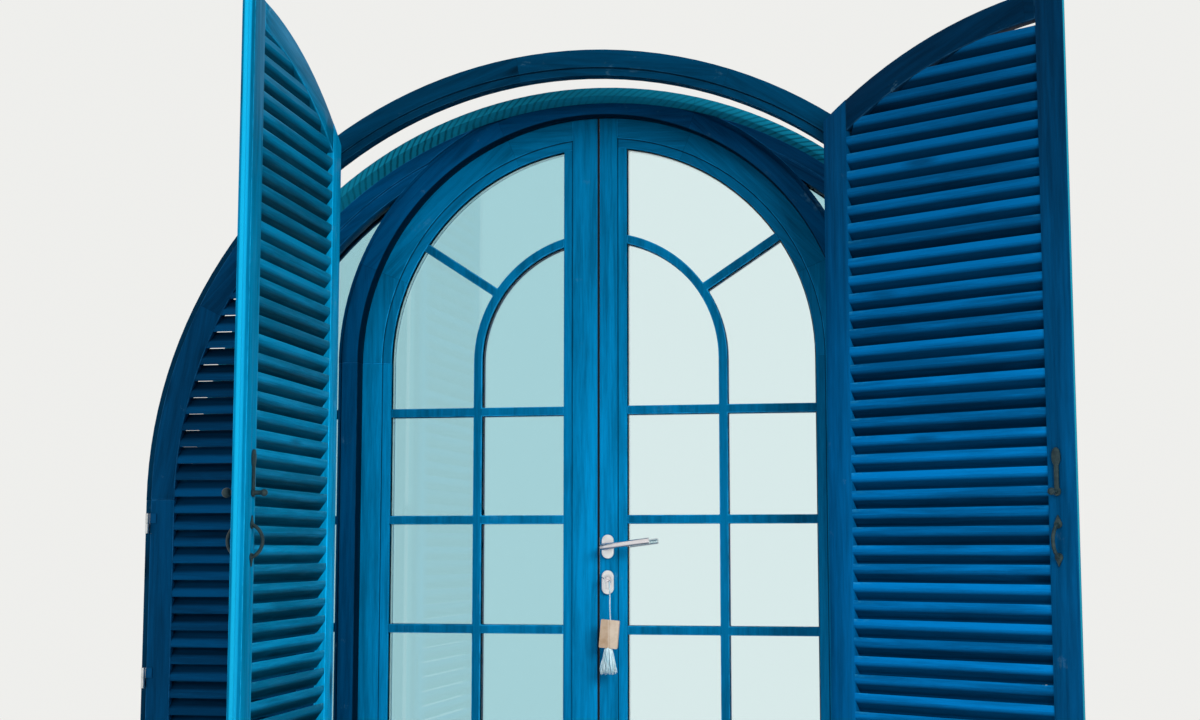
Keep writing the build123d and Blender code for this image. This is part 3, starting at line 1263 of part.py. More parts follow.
FURNITURE = (("left", -1, LEFT_FOLD_ANGLE), ("right", 1, RIGHT_FOLD_ANGLE))
for furniture_name, furniture_side, furniture_turn in FURNITURE:
    save("shutter_latch_" + furniture_name, shutter_latch(furniture_side, furniture_turn))
    pulls = [
        bow_pull(furniture_side, furniture_turn, SHUTTER_IN_Y, -1),
        bow_pull(furniture_side, furniture_turn, SHUTTER_OUT_Y, 1),
    ]
    save("shutter_inner_" + furniture_name + "_pulls", Compound(children=pulls))
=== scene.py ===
"""Finishes and fine parts of an arched French window with folding louvred shutters.

Metres, in the model's own frame: X to the right seen from outside, Y into the building, Z up.
"""

import json
import math
import random

import bmesh
import bpy
from mathutils import Matrix, Vector

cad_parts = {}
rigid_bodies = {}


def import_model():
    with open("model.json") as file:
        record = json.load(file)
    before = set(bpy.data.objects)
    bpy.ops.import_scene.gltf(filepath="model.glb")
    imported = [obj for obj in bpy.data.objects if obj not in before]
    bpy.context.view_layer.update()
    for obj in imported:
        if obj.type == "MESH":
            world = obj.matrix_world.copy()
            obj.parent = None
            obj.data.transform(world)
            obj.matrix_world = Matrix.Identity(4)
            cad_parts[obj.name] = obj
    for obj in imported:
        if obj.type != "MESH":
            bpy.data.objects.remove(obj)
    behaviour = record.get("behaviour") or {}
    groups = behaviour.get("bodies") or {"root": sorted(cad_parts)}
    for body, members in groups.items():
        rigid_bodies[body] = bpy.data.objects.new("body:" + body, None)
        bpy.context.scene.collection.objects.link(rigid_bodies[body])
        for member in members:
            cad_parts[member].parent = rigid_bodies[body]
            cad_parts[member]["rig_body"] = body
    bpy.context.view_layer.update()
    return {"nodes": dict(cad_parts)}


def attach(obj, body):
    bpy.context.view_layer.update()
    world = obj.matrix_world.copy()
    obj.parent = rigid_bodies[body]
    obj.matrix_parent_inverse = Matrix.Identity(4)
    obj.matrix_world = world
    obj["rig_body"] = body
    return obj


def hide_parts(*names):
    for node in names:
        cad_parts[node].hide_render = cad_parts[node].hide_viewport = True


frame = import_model()

bl_info = {
    "name": "Arched French Window",
    "version": (1, 0, 0),
    "blender": (4, 5, 0),
    "location": "View3D > Sidebar > Window",
    "description": "Stained wood, glass, ironwork, slats and key fob of an arched French window",
    "category": "Object",
}

# Levels and radii that the finishes follow
MAIN_CENTRE = 1.163
OUTER_CENTRE = 1.168
DOOR_SPRING = 1.543
FACE_Y = -0.045
MAIN_RADIUS = 1.060
LINING_FRONT = FACE_Y - 0.0005

# Arches glued up from straight pieces: the centre's height and the angle of one piece
MAIN_ARCH = (MAIN_CENTRE, math.radians(30.0))
BEAD_ARCH = (MAIN_CENTRE, math.radians(60.0))
OUTER_ARCH = (OUTER_CENTRE, math.radians(28.0))
PANEL_ARCH = (OUTER_CENTRE, math.radians(34.0))
DOOR_ARCH = (DOOR_SPRING, math.radians(45.0))

# Rounding of edges: shares of the wood's for its thin and bold pieces, and sizes for metal
OUTER_ARCH_SHARE = 0.5
BAR_SHARE = 1.6
PANEL_SHARE = 1.5
HINGE_ROUNDING = 0.0005
LATCH_ROUNDING = 0.0008
PULL_ROUNDING = 0.0006
ROSE_ROUNDING = 0.0022
LEVER_ROUNDING = 0.0006
LOCK_ROUNDING = 0.0004
KEY_ROUNDING = 0.0003

# Sealing strip between the leaves: its ends, and its outline across the gap and into the building
SEAL_BOTTOM = 0.054
SEAL_TOP = 2.200
SEAL_BACK = ((-0.0015, 0.0085), (-0.0035, 0.0085), (-0.0035, 0.0145), (-0.0015, 0.0145))
SEAL_NOSE = ((0.0002, 0.0132), (0.0010, 0.0115), (0.0002, 0.0098))

# Shutter panels, drawn closed and turned about their fold line
FOLD_X = 0.636
FOLD_Y = -0.3376
JAMB_PIN_X = 1.105
PANEL_IN_Y = -0.305
PANEL_OUT_Y = -0.332
STILE = 0.064

# Each panel's side, turn, and distances of its two long edges from the middle line when closed
PANELS = {
    "outer_left": (-1, 0.0, 0.638, 1.100),
    "outer_right": (1, 0.0, 0.638, 1.100),
    "inner_left": (-1, math.radians(-88.5), 0.0015, 0.634),
    "inner_right": (1, math.radians(148.0), 0.0015, 0.634),
}

# For each panel: wear, then the shares of its stain on rails and slats, which also paint its light and shade,
# the shares left by painted shade on the slopes and at the top, and the shares of painted light and shade at
# the long edges
PANEL_FINISHES = {
    "outer_left": (0.25, 0.85, 1.08, 0.38, 0.7, None),
    "outer_right": (0.25, 0.85, 1.08, 0.38, 0.7, None),
    "inner_left": (0.6, 0.8, 1.15, 0.27, 0.55, (1.1, 1.9)),
    "inner_right": (0.25, 0.22, 2.0, 0.25, 0.38, (0.85, 1.2)),
}

# Slats: a slanting board with its edges upright, stacked from the bottom rail up to the arch
SLAT_ARC = 1.036
SLAT_BOTTOM = 0.162
SLAT_PITCH = 0.0421
SLAT_EDGE = 0.018
SLAT_HALF = 0.012
SLAT_RISE = 0.016517
SLAT_SHORTEST = 0.040
FIRST_SLAT = SLAT_BOTTOM + SLAT_RISE + SLAT_EDGE / 2.0
FIRST_SLAT_TOP = SLAT_BOTTOM + 2.0 * SLAT_RISE + SLAT_EDGE

# Where the slats are rubbed: depth behind the panel's face, heights about a nose that also carry a painted
# highlight, and reaches from the stiles
RUBBED_DEPTH = 0.008
NOSE_WEAR_AND_HIGHLIGHT = (0.0015, 0.0045)
EDGE_WEAR = (0.002, 0.013)
FOLD_END_WEAR = 0.07
FREE_END_WEAR = 0.05
FULL_WEAR = 0.01

# Depths behind a panel's faces between which painted shade darkens the slats' slopes
SLOPE_SHADE_START = 0.0034
SLOPE_SHADE_END = 0.0085

# Painted highlights on the folding panels' free edges: colour, reach in depth, reach in width from the middle
# line
EDGE_HIGHLIGHTS = {
    "inner_left": ((0.005, 0.33, 0.58, 1.0), (-0.3280, -0.3120), (-0.02, 0.002)),
    "inner_right": ((0.006, 0.21, 0.3, 1.0), (-0.318, -0.308), (-0.01, 0.0125)),
}
EDGE_HIGHLIGHT_BLUR = 0.003

# Distances of the shutter hinges' pins from the middle line, and a knuckle's reach and colour
HINGE_PINS = (FOLD_X, JAMB_PIN_X)
KNUCKLE = 0.0055
KNUCKLE_STEEL = (0.72, 0.74, 0.74, 1.0)

# Heights between which painted shade darkens the stain towards the top, the painted shadow of deep corners,
# also used for dark glued joints, and the dark of knots
TOP_SHADE_START = 1.15
TOP_SHADE_END = 2.2
SHADOW = (0.0, 0.004, 0.011, 1.0)
KNOT = (0.0, 0.004, 0.01, 1.0)

# Painted shadow in the door frame's reveal round the leaves, and steps between the leaves' flat faces and
# their glazing beads, marked with painted shadow lines
SHADOWED_REVEAL_RADIUS = 0.6505
REVEAL_SHADOW_BLUR = 0.002
BEAD_STEP = 0.597
BEAD_SHADOW_LINE = 0.0026
MEETING_STEPS = (0.0695, 0.0505)

# Saw marks across the lining
MARK_PITCH = 0.021
MARK_WANDER = 0.012

# Coordinates that run along and across the grain
GRAIN_ORDERS = {"upright": "ZXY", "level": "XZY"}

# The key fob's string, from the key's eye to the tag
STRING_ROUTE = (
    (0.036392, -0.038, 0.959),
    (0.036392, -0.0455, 0.959),
    (0.039192, -0.0455, 0.92505),
    (0.037992, -0.0455, 0.8911),
    (0.040392, -0.0455, 0.857),
)
STRING_WIDTH = 0.0034
STRING_STEPS = 70
STRING_STRANDS = 3
STRING_TURNS = 11.0
STRAND_LAY = STRING_WIDTH * 0.27
STRAND_RADIUS = STRING_WIDTH * 0.25

# Tag and tassel; the tag has painted shade on its folded side and in its crease
TAG_TOP = Vector((0.040392, -0.0455, 0.862))
TAG_LEAN = math.radians(5.0)
TAG_HEIGHT = 0.072
TAG_CREASE = 0.0385
TAG_CREASE_SHADOW_WIDTH = 0.0014
TAG_FOLD_SHADE = 0.006
TASSEL_SEED = 7
TASSEL_TUCK = 0.005
TASSEL_LENGTH = 0.073
TASSEL_STEPS = 8
TASSEL_NECK = 0.004
TASSEL_SPREAD = 0.0175
TASSEL_YARN = 0.0011
BINDING_TURNS = 4
BINDING_STEPS = 12
BINDING_RADIUS = 0.0046
BINDING_DROP = 0.004
BINDING_PITCH = 0.0016
BINDING_YARN = 0.0009

# Edges sharper than this are rounded, and those sharper than these stay creases
ROUNDED_ANGLE = math.radians(35.0)
WOOD_CREASE = math.radians(38.0)
SLAT_CREASE = math.radians(30.0)
SEAL_CREASE = math.radians(60.0)

# Camera, and lamps: place, aim, size, share of the key light's power, colour
CAMERA_LENS = 52.4
CAMERA_SENSOR = 36.0
CAMERA_PLACE = (0.8508, -4.5145, 1.0378)
CAMERA_TURN = (math.radians(96.25), 0.0, math.radians(10.62))
LAMPS = {
    "key": ((3.4, -4.6, 3.4), (-0.2, 0.0, 1.2), (3.0, 2.4), 1.0, (1.0, 0.985, 0.96)),
    "fill": ((-3.6, -4.2, 1.6), (0.0, 0.0, 1.2), (3.0, 3.0), 0.22, (0.9, 0.95, 1.0)),
    "inside": ((0.4, 4.0, 2.4), (0.0, 0.0, 1.2), (3.0, 2.4), 0.25, (1.0, 0.98, 0.95)),
}
FLOOR_HALF = 5.4

# Kinds of socket, and the sockets of a finish
COLOUR = "NodeSocketColor"
NUMBER = "NodeSocketFloat"
COUNT = "NodeSocketInt"
VECTOR = "NodeSocketVector"
SHAPE = "NodeSocketGeometry"
FINISH = {"Color": COLOUR, "Roughness": NUMBER, "Height": NUMBER}


def tint(red, green, blue):
    """A colour written as 0-255 screen values, as the linear values that a shader takes."""
    linear = []
    for value in (red, green, blue):
        share = value / 255.0
        linear.append(share / 12.92 if share <= 0.04045 else ((share + 0.055) / 1.055) ** 2.4)
    return (*linear, 1.0)


def darker(colour, share):
    """The same colour with each channel multiplied by a share."""
    return (colour[0] * share, colour[1] * share, colour[2] * share, 1.0)


def lighter(colour, share):
    """The same colour raised towards a pale blue."""
    red, green, blue, _ = colour
    return (red * share + 0.01, min(green * share + 0.02, 1.0), min(blue * share + 0.02, 1.0), 1.0)


# Wood under worn stain; on the slats' noses it also stands for a painted highlight
PALE_WOOD = tint(150, 205, 222)
PALE_SLAT = tint(70, 176, 204)


# Node trees, written as sums
class Value:
    """A number, colour, vector or shape in a node tree; its sums and products are Math nodes."""

    def __init__(self, tree, socket):
        self.tree = tree
        self.socket = socket

    def __add__(self, other):
        return calc("ADD", self, other)

    def __sub__(self, other):
        return calc("SUBTRACT", self, other)

    def __rsub__(self, other):
        return calc("SUBTRACT", other, self)

    def __mul__(self, other):
        return calc("MULTIPLY", self, other)

    def __truediv__(self, other):
        return calc("DIVIDE", self, other)


def tree_of(*values):
    """The tree of the first of these that stands in one."""
    return next(value.tree for value in values if isinstance(value, Value))


def fill(made, inputs):
    """Link or set a node's inputs."""
    for key, value in inputs.items():
        if isinstance(value, Value):
            value.tree.links.new(value.socket, made.inputs[key])
        else:
            made.inputs[key].default_value = value


def node(tree, kind, inputs=None, **settings):
    """A node with its settings made and its inputs filled."""
    made = tree.nodes.new(kind)
    for key, value in settings.items():
        setattr(made, key, value)
    fill(made, inputs or {})
    return made


def result(tree, kind, inputs=None, output=0, **settings):
    """One output of a new node."""
    return Value(tree, node(tree, kind, inputs, **settings).outputs[output])


def outputs_of(tree, made):
    """A node's outputs by their names."""
    return {socket.name: Value(tree, socket) for socket in made.outputs}


def calc(operation, *values, clamp=False):
    """The result of a Math node."""
    inputs = dict(enumerate(values))
    return result(tree_of(*values), "ShaderNodeMath", inputs, operation=operation, use_clamp=clamp)


def split(vector):
    """A vector's coordinates by their letters."""
    return outputs_of(vector.tree, node(vector.tree, "ShaderNodeSeparateXYZ", {0: vector}))


def joined(x, y, z):
    """A vector from its three coordinates."""
    return result(tree_of(x, y, z), "ShaderNodeCombineXYZ", {"X": x, "Y": y, "Z": z})


def stretch(vector, scale):
    """A vector multiplied by a fixed scale along each axis."""
    return result(vector.tree, "ShaderNodeVectorMath", {0: vector, 1: scale}, operation="MULTIPLY")


def scaled(colour, factor):
    """A colour with all its channels multiplied by a number."""
    return result(colour.tree, "ShaderNodeVectorMath", {0: colour, 3: factor}, operation="SCALE")


def ramp(value, low, high, start=0.0, end=1.0):
    """A value mapped from one range to another and held inside it."""
    inputs = {"Value": value, "From Min": low, "From Max": high, "To Min": start, "To Max": end}
    return result(value.tree, "ShaderNodeMapRange", inputs, "Result", clamp=True)


def blend(share, first, second):
    """A mix of two colours."""
    inputs = {0: share, 6: first, 7: second}
    return result(tree_of(share, first, second), "ShaderNodeMix", inputs, 2, data_type="RGBA")


def blend_vectors(share, first, second):
    """A mix of two vectors."""
    return result(share.tree, "ShaderNodeMix", {0: share, 4: first, 5: second}, 1, data_type="VECTOR")


def hypotenuse(first, second):
    """The length of a line from its two legs."""
    return calc("SQRT", first * first + second * second)


def between(value, low, high):
    """One where a value lies between two others, else nought."""
    return calc("GREATER_THAN", value, low) * calc("LESS_THAN", value, high)


def noise(vector, scale=1.0, detail=3.0, roughness=0.55, distortion=0.0):
    """The value of a noise texture."""
    inputs = {
        "Vector": vector,
        "Scale": scale,
        "Detail": detail,
        "Roughness": roughness,
        "Distortion": distortion,
    }
    return result(vector.tree, "ShaderNodeTexNoise", inputs, "Fac")


def attribute(tree, name):
    """A mesh attribute as a number."""
    return result(tree, "ShaderNodeAttribute", output="Fac", attribute_name=name)


def start_group(name, inputs, outputs, kind="ShaderNodeTree"):
    """An empty node group with named sockets, and its inputs as values."""
    tree = bpy.data.node_groups.new(name, kind)
    for in_out, sockets in (("INPUT", inputs), ("OUTPUT", outputs)):
        for label, socket_type in sockets.items():
            tree.interface.new_socket(name=label, in_out=in_out, socket_type=socket_type)
    return tree, outputs_of(tree, node(tree, "NodeGroupInput"))


def finish_group(tree, results):
    """Link the results to the group's outputs."""
    node(tree, "NodeGroupOutput", results)
    return tree


def stained_wood_group():
    """Blue stain on softwood: streaks along the grain, knots and worn places."""
    inputs = {"Vector": VECTOR, "Stain": COLOUR, "Deep": COLOUR, "Pale": COLOUR}
    inputs |= {"Wear": NUMBER, "Tone": NUMBER, "Knots": NUMBER}
    tree, given = start_group("Stained wood", inputs, FINISH)
    grain = given["Vector"]
    streaks = noise(stretch(grain, (4.0, 75.0, 75.0)), detail=5.0, roughness=0.62, distortion=0.35)
    broad = noise(stretch(grain, (1.3, 10.0, 10.0)), detail=2.0)
    fine = noise(stretch(grain, (24.0, 520.0, 520.0)), detail=2.0)
    mixed = streaks * 0.5 + broad * 0.35 + fine * 0.15 + given["Tone"] * 0.12
    colour = blend(ramp(mixed, 0.39, 0.61), given["Deep"], given["Stain"])
    spots = {"Vector": stretch(grain, (2.6, 11.0, 11.0)), "Scale": 1.0, "Randomness": 1.0}
    cells = result(tree, "ShaderNodeTexVoronoi", spots, "Distance")
    knot = ramp(cells, 0.05, 0.15, 1.0, 0.0) * given["Knots"]
    colour = blend(knot, colour, blend(0.6, given["Deep"], KNOT))
    flakes = ramp(noise(stretch(grain, (60.0, 150.0, 150.0)), detail=4.0), 0.44, 0.6)
    worn = calc("MULTIPLY", flakes, given["Wear"], clamp=True)
    results = {
        "Color": blend(worn, colour, given["Pale"]),
        "Roughness": ramp(streaks, 0.3, 0.7, 0.5, 0.36) + worn * 0.3,
        "Height": streaks * 0.6 + fine * 0.4,
    }
    return finish_group(tree, results)


def arch_grain_group():
    """Grain of an arch glued up from straight pieces: each piece has its own direction and tone."""
    inputs = {"Vector": VECTOR, "Centre height": NUMBER, "Piece angle": NUMBER}
    tree, given = start_group("Arch grain", inputs, {"Vector": VECTOR, "Joint": NUMBER, "Tone": NUMBER})
    place = split(given["Vector"])
    piece = given["Piece angle"]
    rise = place["Z"] - given["Centre height"]
    angle = calc("ARCTAN2", rise, place["X"])
    index = calc("FLOOR", angle / piece + 0.5)
    turn = angle - index * piece
    radius = hypotenuse(rise, place["X"])
    along = radius * calc("SINE", turn) + index * 3.3
    across = radius * calc("COSINE", turn)
    margin = (piece * 0.5 - calc("ABSOLUTE", turn)) * radius
    tone = result(tree, "ShaderNodeTexWhiteNoise", {"W": index}, "Value", noise_dimensions="1D")
    results = {
        "Vector": joined(along, across, place["Y"] + index * 0.7),
        "Joint": ramp(margin, 0.0003, 0.0014, 1.0, 0.0),
        "Tone": tone - 0.5,
    }
    return finish_group(tree, results)


def metal_wear_group():
    """Fine scratches and dull patches of worked metal."""
    inputs = {"Vector": VECTOR, "Colour": COLOUR, "Stains": COLOUR, "Gloss": NUMBER, "Age": NUMBER}
    tree, given = start_group("Metal wear", inputs, FINISH)
    patches = noise(given["Vector"], scale=90.0, detail=4.0)
    scratches = noise(stretch(given["Vector"], (900.0, 900.0, 60.0)), detail=2.0)
    share = ramp(patches, 0.4, 0.65) * given["Age"]
    results = {
        "Color": blend(share, given["Colour"], given["Stains"]),
        "Roughness": given["Gloss"] + share * 0.25 + scratches * 0.08,
        "Height": patches * given["Age"] + scratches * 0.2,
    }
    return finish_group(tree, results)


GROUPS = {"Stained wood": stained_wood_group, "Arch grain": arch_grain_group, "Metal wear": metal_wear_group}


def place_group(tree, name, inputs):
    """A group in a material, built the first time that it is asked for, with its outputs by name."""
    group = bpy.data.node_groups.get(name) or GROUPS[name]()
    return outputs_of(tree, node(tree, "ShaderNodeGroup", inputs, node_tree=group))


def start_material(name):
    """An empty material with a Principled shader on its output, and the coordinates of its object."""
    material = bpy.data.materials.new(name)
    material.use_nodes = True
    tree = material.node_tree
    tree.nodes.clear()
    shader = node(tree, "ShaderNodeBsdfPrincipled")
    node(tree, "ShaderNodeOutputMaterial", {"Surface": Value(tree, shader.outputs[0])})
    return material, shader, result(tree, "ShaderNodeTexCoord", output="Object")


def finish_material(material, shader, inputs, height, strength, distance):
    """Fill the shader and raise a relief on its surface."""
    relief = {"Height": height, "Strength": strength, "Distance": distance}
    fill(shader, {**inputs, "Normal": result(material.node_tree, "ShaderNodeBump", relief)})
    return material


# Wood
def closed_coordinates(coordinates, panel):
    """Coordinates of a shutter panel as if it were closed."""
    side, turn, _, _ = PANELS[panel]
    inputs = {"Vector": coordinates, "Center": (side * FOLD_X, FOLD_Y, 0.0), "Angle": -turn}
    return result(coordinates.tree, "ShaderNodeVectorRotate", inputs, rotation_type="Z_AXIS")


def arch_distance(place):
    """Distance from the door arch's centre above its spring, and from the middle line below it."""
    return hypotenuse(calc("MAXIMUM", place["Z"] - DOOR_SPRING, 0.0), place["X"])


def lit_panel_edge(place, colour, panel):
    """The free edge of a folding panel, with a painted highlight along its middle."""
    # The strip is a painted highlight colour
    strip, (low, high), width = EDGE_HIGHLIGHTS[panel]
    end = between(place["X"] * float(PANELS[panel][0]), *width)
    middle = ramp(place["Y"], low, low + EDGE_HIGHLIGHT_BLUR) * ramp(place["Y"], high - EDGE_HIGHLIGHT_BLUR, high, 1.0, 0.0)
    return blend(end * middle, colour, strip)


def bead_shadow_lines(place):
    """Painted shadow lines where a leaf's flat faces step down to its glazing beads."""
    distance = arch_distance(place)
    left, right = MEETING_STEPS
    line = between(distance, BEAD_STEP - BEAD_SHADOW_LINE, BEAD_STEP) * (1.0 - between(place["X"], -left, right))
    inside = calc("LESS_THAN", distance, BEAD_STEP)
    for low in (-left - BEAD_SHADOW_LINE, right):
        line = calc("MAXIMUM", line, inside * between(place["X"], low, low + BEAD_SHADOW_LINE))
    return line


def add_lining(coordinates, place, colour, height, stain):
    """The lining in front of the frame's face: thinner, greener stain with slanting saw marks."""
    front = calc("LESS_THAN", place["Y"], LINING_FRONT)
    rise = place["Z"] - MAIN_CENTRE
    along = calc("ARCTAN2", rise, place["X"]) * MAIN_RADIUS
    slant = along + hypotenuse(rise, place["X"]) * 1.4 + place["Y"] * -0.35
    wander = noise(coordinates, scale=14.0, detail=3.0) * MARK_WANDER
    marks = calc("SINE", (slant + wander) * (2.0 * math.pi / MARK_PITCH))
    strength = ramp(noise(coordinates, scale=3.0, detail=2.0), 0.35, 0.6, 0.25, 1.0)
    striped = blend(ramp(marks, 0.1, 0.9) * strength * 0.85, stain, darker(stain, 0.3))
    washed = blend(0.9, colour, striped)
    return blend(front, colour, washed), height + marks * front * 0.25


def finish_wood(material, shader, wood, colour, height):
    """Fill the shader with a matt stain and raise the grain."""
    surface = {"Base Color": colour, "Roughness": wood["Roughness"], "Specular IOR Level": 0.02}
    return finish_material(material, shader, surface, height, strength=0.35, distance=0.0006)


def wood_material(
    name, stain, grain="upright", arch=None, panel=None, wear=0.0, knots=1.0, lining=None, painted_top_shade=1.0,
    sides=None, shadowed_recess=None, bead=False,
):
    """Stained wood. arch is its centre height, above which it applies, and the angle of one glued piece.

    lining is the stain in front of the frame's face. The top share is the brightness that painted shade
    leaves at the top, and the side shares the brightness that painted light and shade leave at a panel's free
    and fold sides. Inside the recess distance from the arch's centre the wood is painted dark as the reveal's
    shadow, and the bead option paints shadow lines beside the glazing beads.
    """
    material, shader, coordinates = start_material(name)
    if panel:
        coordinates = closed_coordinates(coordinates, panel)
    tree = coordinates.tree
    place = split(coordinates)
    scuffs = noise(coordinates, scale=9.0, detail=5.0, roughness=0.7)
    inputs = {
        "Vector": joined(*(place[letter] for letter in GRAIN_ORDERS[grain])),
        "Stain": stain,
        "Deep": darker(stain, 0.52),
        "Pale": PALE_WOOD,
        "Wear": ramp(scuffs, 0.62, 0.72, 0.0, wear),
        "Tone": 0.0,
        "Knots": knots,
    }
    if arch:
        centre, piece = arch
        bent = {"Vector": coordinates, "Centre height": centre, "Piece angle": piece}
        arc = place_group(tree, "Arch grain", bent)
        above = calc("GREATER_THAN", place["Z"], centre)
        inputs["Vector"] = blend_vectors(above, inputs["Vector"], arc["Vector"])
        inputs["Tone"] = arc["Tone"] * above * 0.4
    wood = place_group(tree, "Stained wood", inputs)
    # Rounded edges lightened: wear, and a painted highlight along the edges
    rubbed = ramp(noise(coordinates, scale=26.0, detail=4.0), 0.36, 0.62, 0.1, 0.75)
    colour = blend(attribute(tree, "edge") * rubbed, wood["Color"], lighter(stain, 1.7))
    height = wood["Height"]
    if lining:
        colour, height = add_lining(coordinates, place, colour, height, lining)
    if arch:
        colour = blend(arc["Joint"] * above * 0.25, colour, SHADOW)
    # Painted light and shade: brightness changing across a panel from its free side to its fold side
    if sides:
        near, far = PANELS[panel][2:]
        width = calc("ABSOLUTE", place["X"])
        colour = scaled(colour, ramp(width, near + STILE, far - STILE, *sides))
    # Painted shade, darker towards the top
    if painted_top_shade < 1.0:
        colour = scaled(colour, ramp(place["Z"], TOP_SHADE_START, TOP_SHADE_END, 1.0, painted_top_shade))
    # Painted shadow in the reveal between the door frame and the leaves
    if shadowed_recess:
        painted_reveal_shadow = ramp(arch_distance(place), shadowed_recess, shadowed_recess + REVEAL_SHADOW_BLUR, 0.9, 0.0)
        colour = blend(painted_reveal_shadow, colour, SHADOW)
    # Painted shadow lines beside the glazing beads
    if bead:
        colour = blend(bead_shadow_lines(place) * 0.8, colour, SHADOW)
    # Painted highlight along a folding panel's free edge
    if panel in EDGE_HIGHLIGHTS:
        colour = lit_panel_edge(place, colour, panel)
    return finish_wood(material, shader, wood, colour, height)


def slat_material(name, stain, panel, wear, painted_slope_shade, painted_top_shade):
    """Slats: grain along the slat, with the stain rubbed off along the noses and at the ends;
    the lighter noses are also a painted highlight.

    The slope share is the brightness that painted shade leaves on the slopes, and the top share
    the brightness that painted shade leaves at the top.
    """
    material, shader, coordinates = start_material(name)
    tree = coordinates.tree
    place = split(closed_coordinates(coordinates, panel))
    row = attribute(tree, "slat_tone")
    near, far = PANELS[panel][2:]
    step = (place["Z"] - FIRST_SLAT_TOP) / SLAT_PITCH
    part = calc("ABSOLUTE", step - calc("ROUND", step)) * SLAT_PITCH
    inner = calc("GREATER_THAN", place["Y"], PANEL_IN_Y - RUBBED_DEPTH)
    # Noses lightened: wear, and a painted highlight
    nose = ramp(part, *NOSE_WEAR_AND_HIGHLIGHT, 1.0, 0.0) * inner
    width = calc("ABSOLUTE", place["X"])
    fold_end = ramp(width, far - STILE - FOLD_END_WEAR, far - STILE - FULL_WEAR)
    free_end = ramp(width, near + STILE + FREE_END_WEAR, near + STILE + FULL_WEAR)
    ends = calc("MAXIMUM", fold_end, free_end * 0.5)
    rubbed = ends * (ramp(part, *EDGE_WEAR, 1.0, 0.0) * inner) * wear
    inputs = {
        "Vector": joined(place["X"] + row * 9.0, place["Z"], place["Y"]),
        "Stain": stain,
        "Deep": darker(stain, 0.5),
        "Pale": PALE_SLAT,
        "Wear": calc("MAXIMUM", nose * (wear * 0.45), rubbed),
        "Tone": (row - 0.5) * 2.0,
        "Knots": 0.6,
    }
    wood = place_group(tree, "Stained wood", inputs)
    # Painted shade: slopes darker behind the noses, and slats darker towards the top
    inward = calc("MINIMUM", PANEL_IN_Y - place["Y"], place["Y"] - PANEL_OUT_Y)
    shade = ramp(inward, SLOPE_SHADE_START, SLOPE_SHADE_END, 1.0, painted_slope_shade)
    shade = shade * ramp(place["Z"], TOP_SHADE_START, TOP_SHADE_END, 1.0, painted_top_shade)
    return finish_wood(material, shader, wood, scaled(wood["Color"], shade), wood["Height"])


# Metal, glass and the rest
def worked_metal(coordinates, colour, stains, gloss, age):
    """Colour, roughness and height of worked metal."""
    inputs = {"Vector": coordinates, "Colour": colour, "Stains": stains, "Gloss": gloss, "Age": age}
    return place_group(coordinates.tree, "Metal wear", inputs)


def metal_material(name, colour, stains, gloss, age, metallic=1.0, relief=0.2):
    """Worked metal with patches and scratches."""
    material, shader, coordinates = start_material(name)
    metal = worked_metal(coordinates, colour, stains, gloss, age)
    surface = {"Base Color": metal["Color"], "Roughness": metal["Roughness"], "Metallic": metallic}
    return finish_material(material, shader, surface, metal["Height"], relief, distance=0.0004)


def hinge_material(name, steel, stain):
    """Hinges of the shutters: bright knuckles round their pins, flaps stained with the wood."""
    material, shader, coordinates = start_material(name)
    metal = worked_metal(coordinates, steel, darker(steel, 0.6), gloss=0.35, age=0.4)
    width = calc("ABSOLUTE", split(coordinates)["X"])
    bare = calc("MAXIMUM", *(between(width, pin - KNUCKLE, pin + KNUCKLE) for pin in HINGE_PINS))
    surface = {
        "Base Color": blend(bare, stain, metal["Color"]),
        "Roughness": metal["Roughness"],
        "Metallic": bare,
        "Specular IOR Level": 0.05,
    }
    return finish_material(material, shader, surface, metal["Height"], strength=0.2, distance=0.0004)


def glass_material(name, colour):
    """Clear float glass with a faint film of dust."""
    material, shader, coordinates = start_material(name)
    dust = noise(coordinates, scale=5.0, detail=5.0, roughness=0.7)
    surface = {
        "Base Color": colour,
        "Roughness": ramp(dust, 0.35, 0.8, 0.0, 0.05),
        "Transmission Weight": 1.0,
        "IOR": 1.46,
    }
    fill(shader, surface)
    return material


def rubber_material(name):
    """Matt black sealing strip."""
    material, shader, coordinates = start_material(name)
    grit = noise(coordinates, scale=400.0, detail=2.0)
    surface = {
        "Base Color": blend(grit, (0.006, 0.006, 0.007, 1.0), (0.016, 0.016, 0.018, 1.0)),
        "Roughness": ramp(grit, 0.3, 0.7, 0.6, 0.8),
    }
    return finish_material(material, shader, surface, grit, strength=0.2, distance=0.0002)


def yarn_material(name, light, shade):
    """Soft spun yarn, darker between its fibres."""
    material, shader, coordinates = start_material(name)
    fibres = noise(stretch(coordinates, (1400.0, 1400.0, 260.0)), detail=3.0)
    tone = noise(coordinates, scale=60.0, detail=2.0)
    surface = {
        "Base Color": blend(ramp(fibres * 0.6 + tone * 0.4, 0.35, 0.6), shade, light),
        "Roughness": ramp(fibres, 0.3, 0.7, 0.95, 0.8),
        "Sheen Weight": 0.35,
    }
    return finish_material(material, shader, surface, fibres, strength=0.6, distance=0.0004)


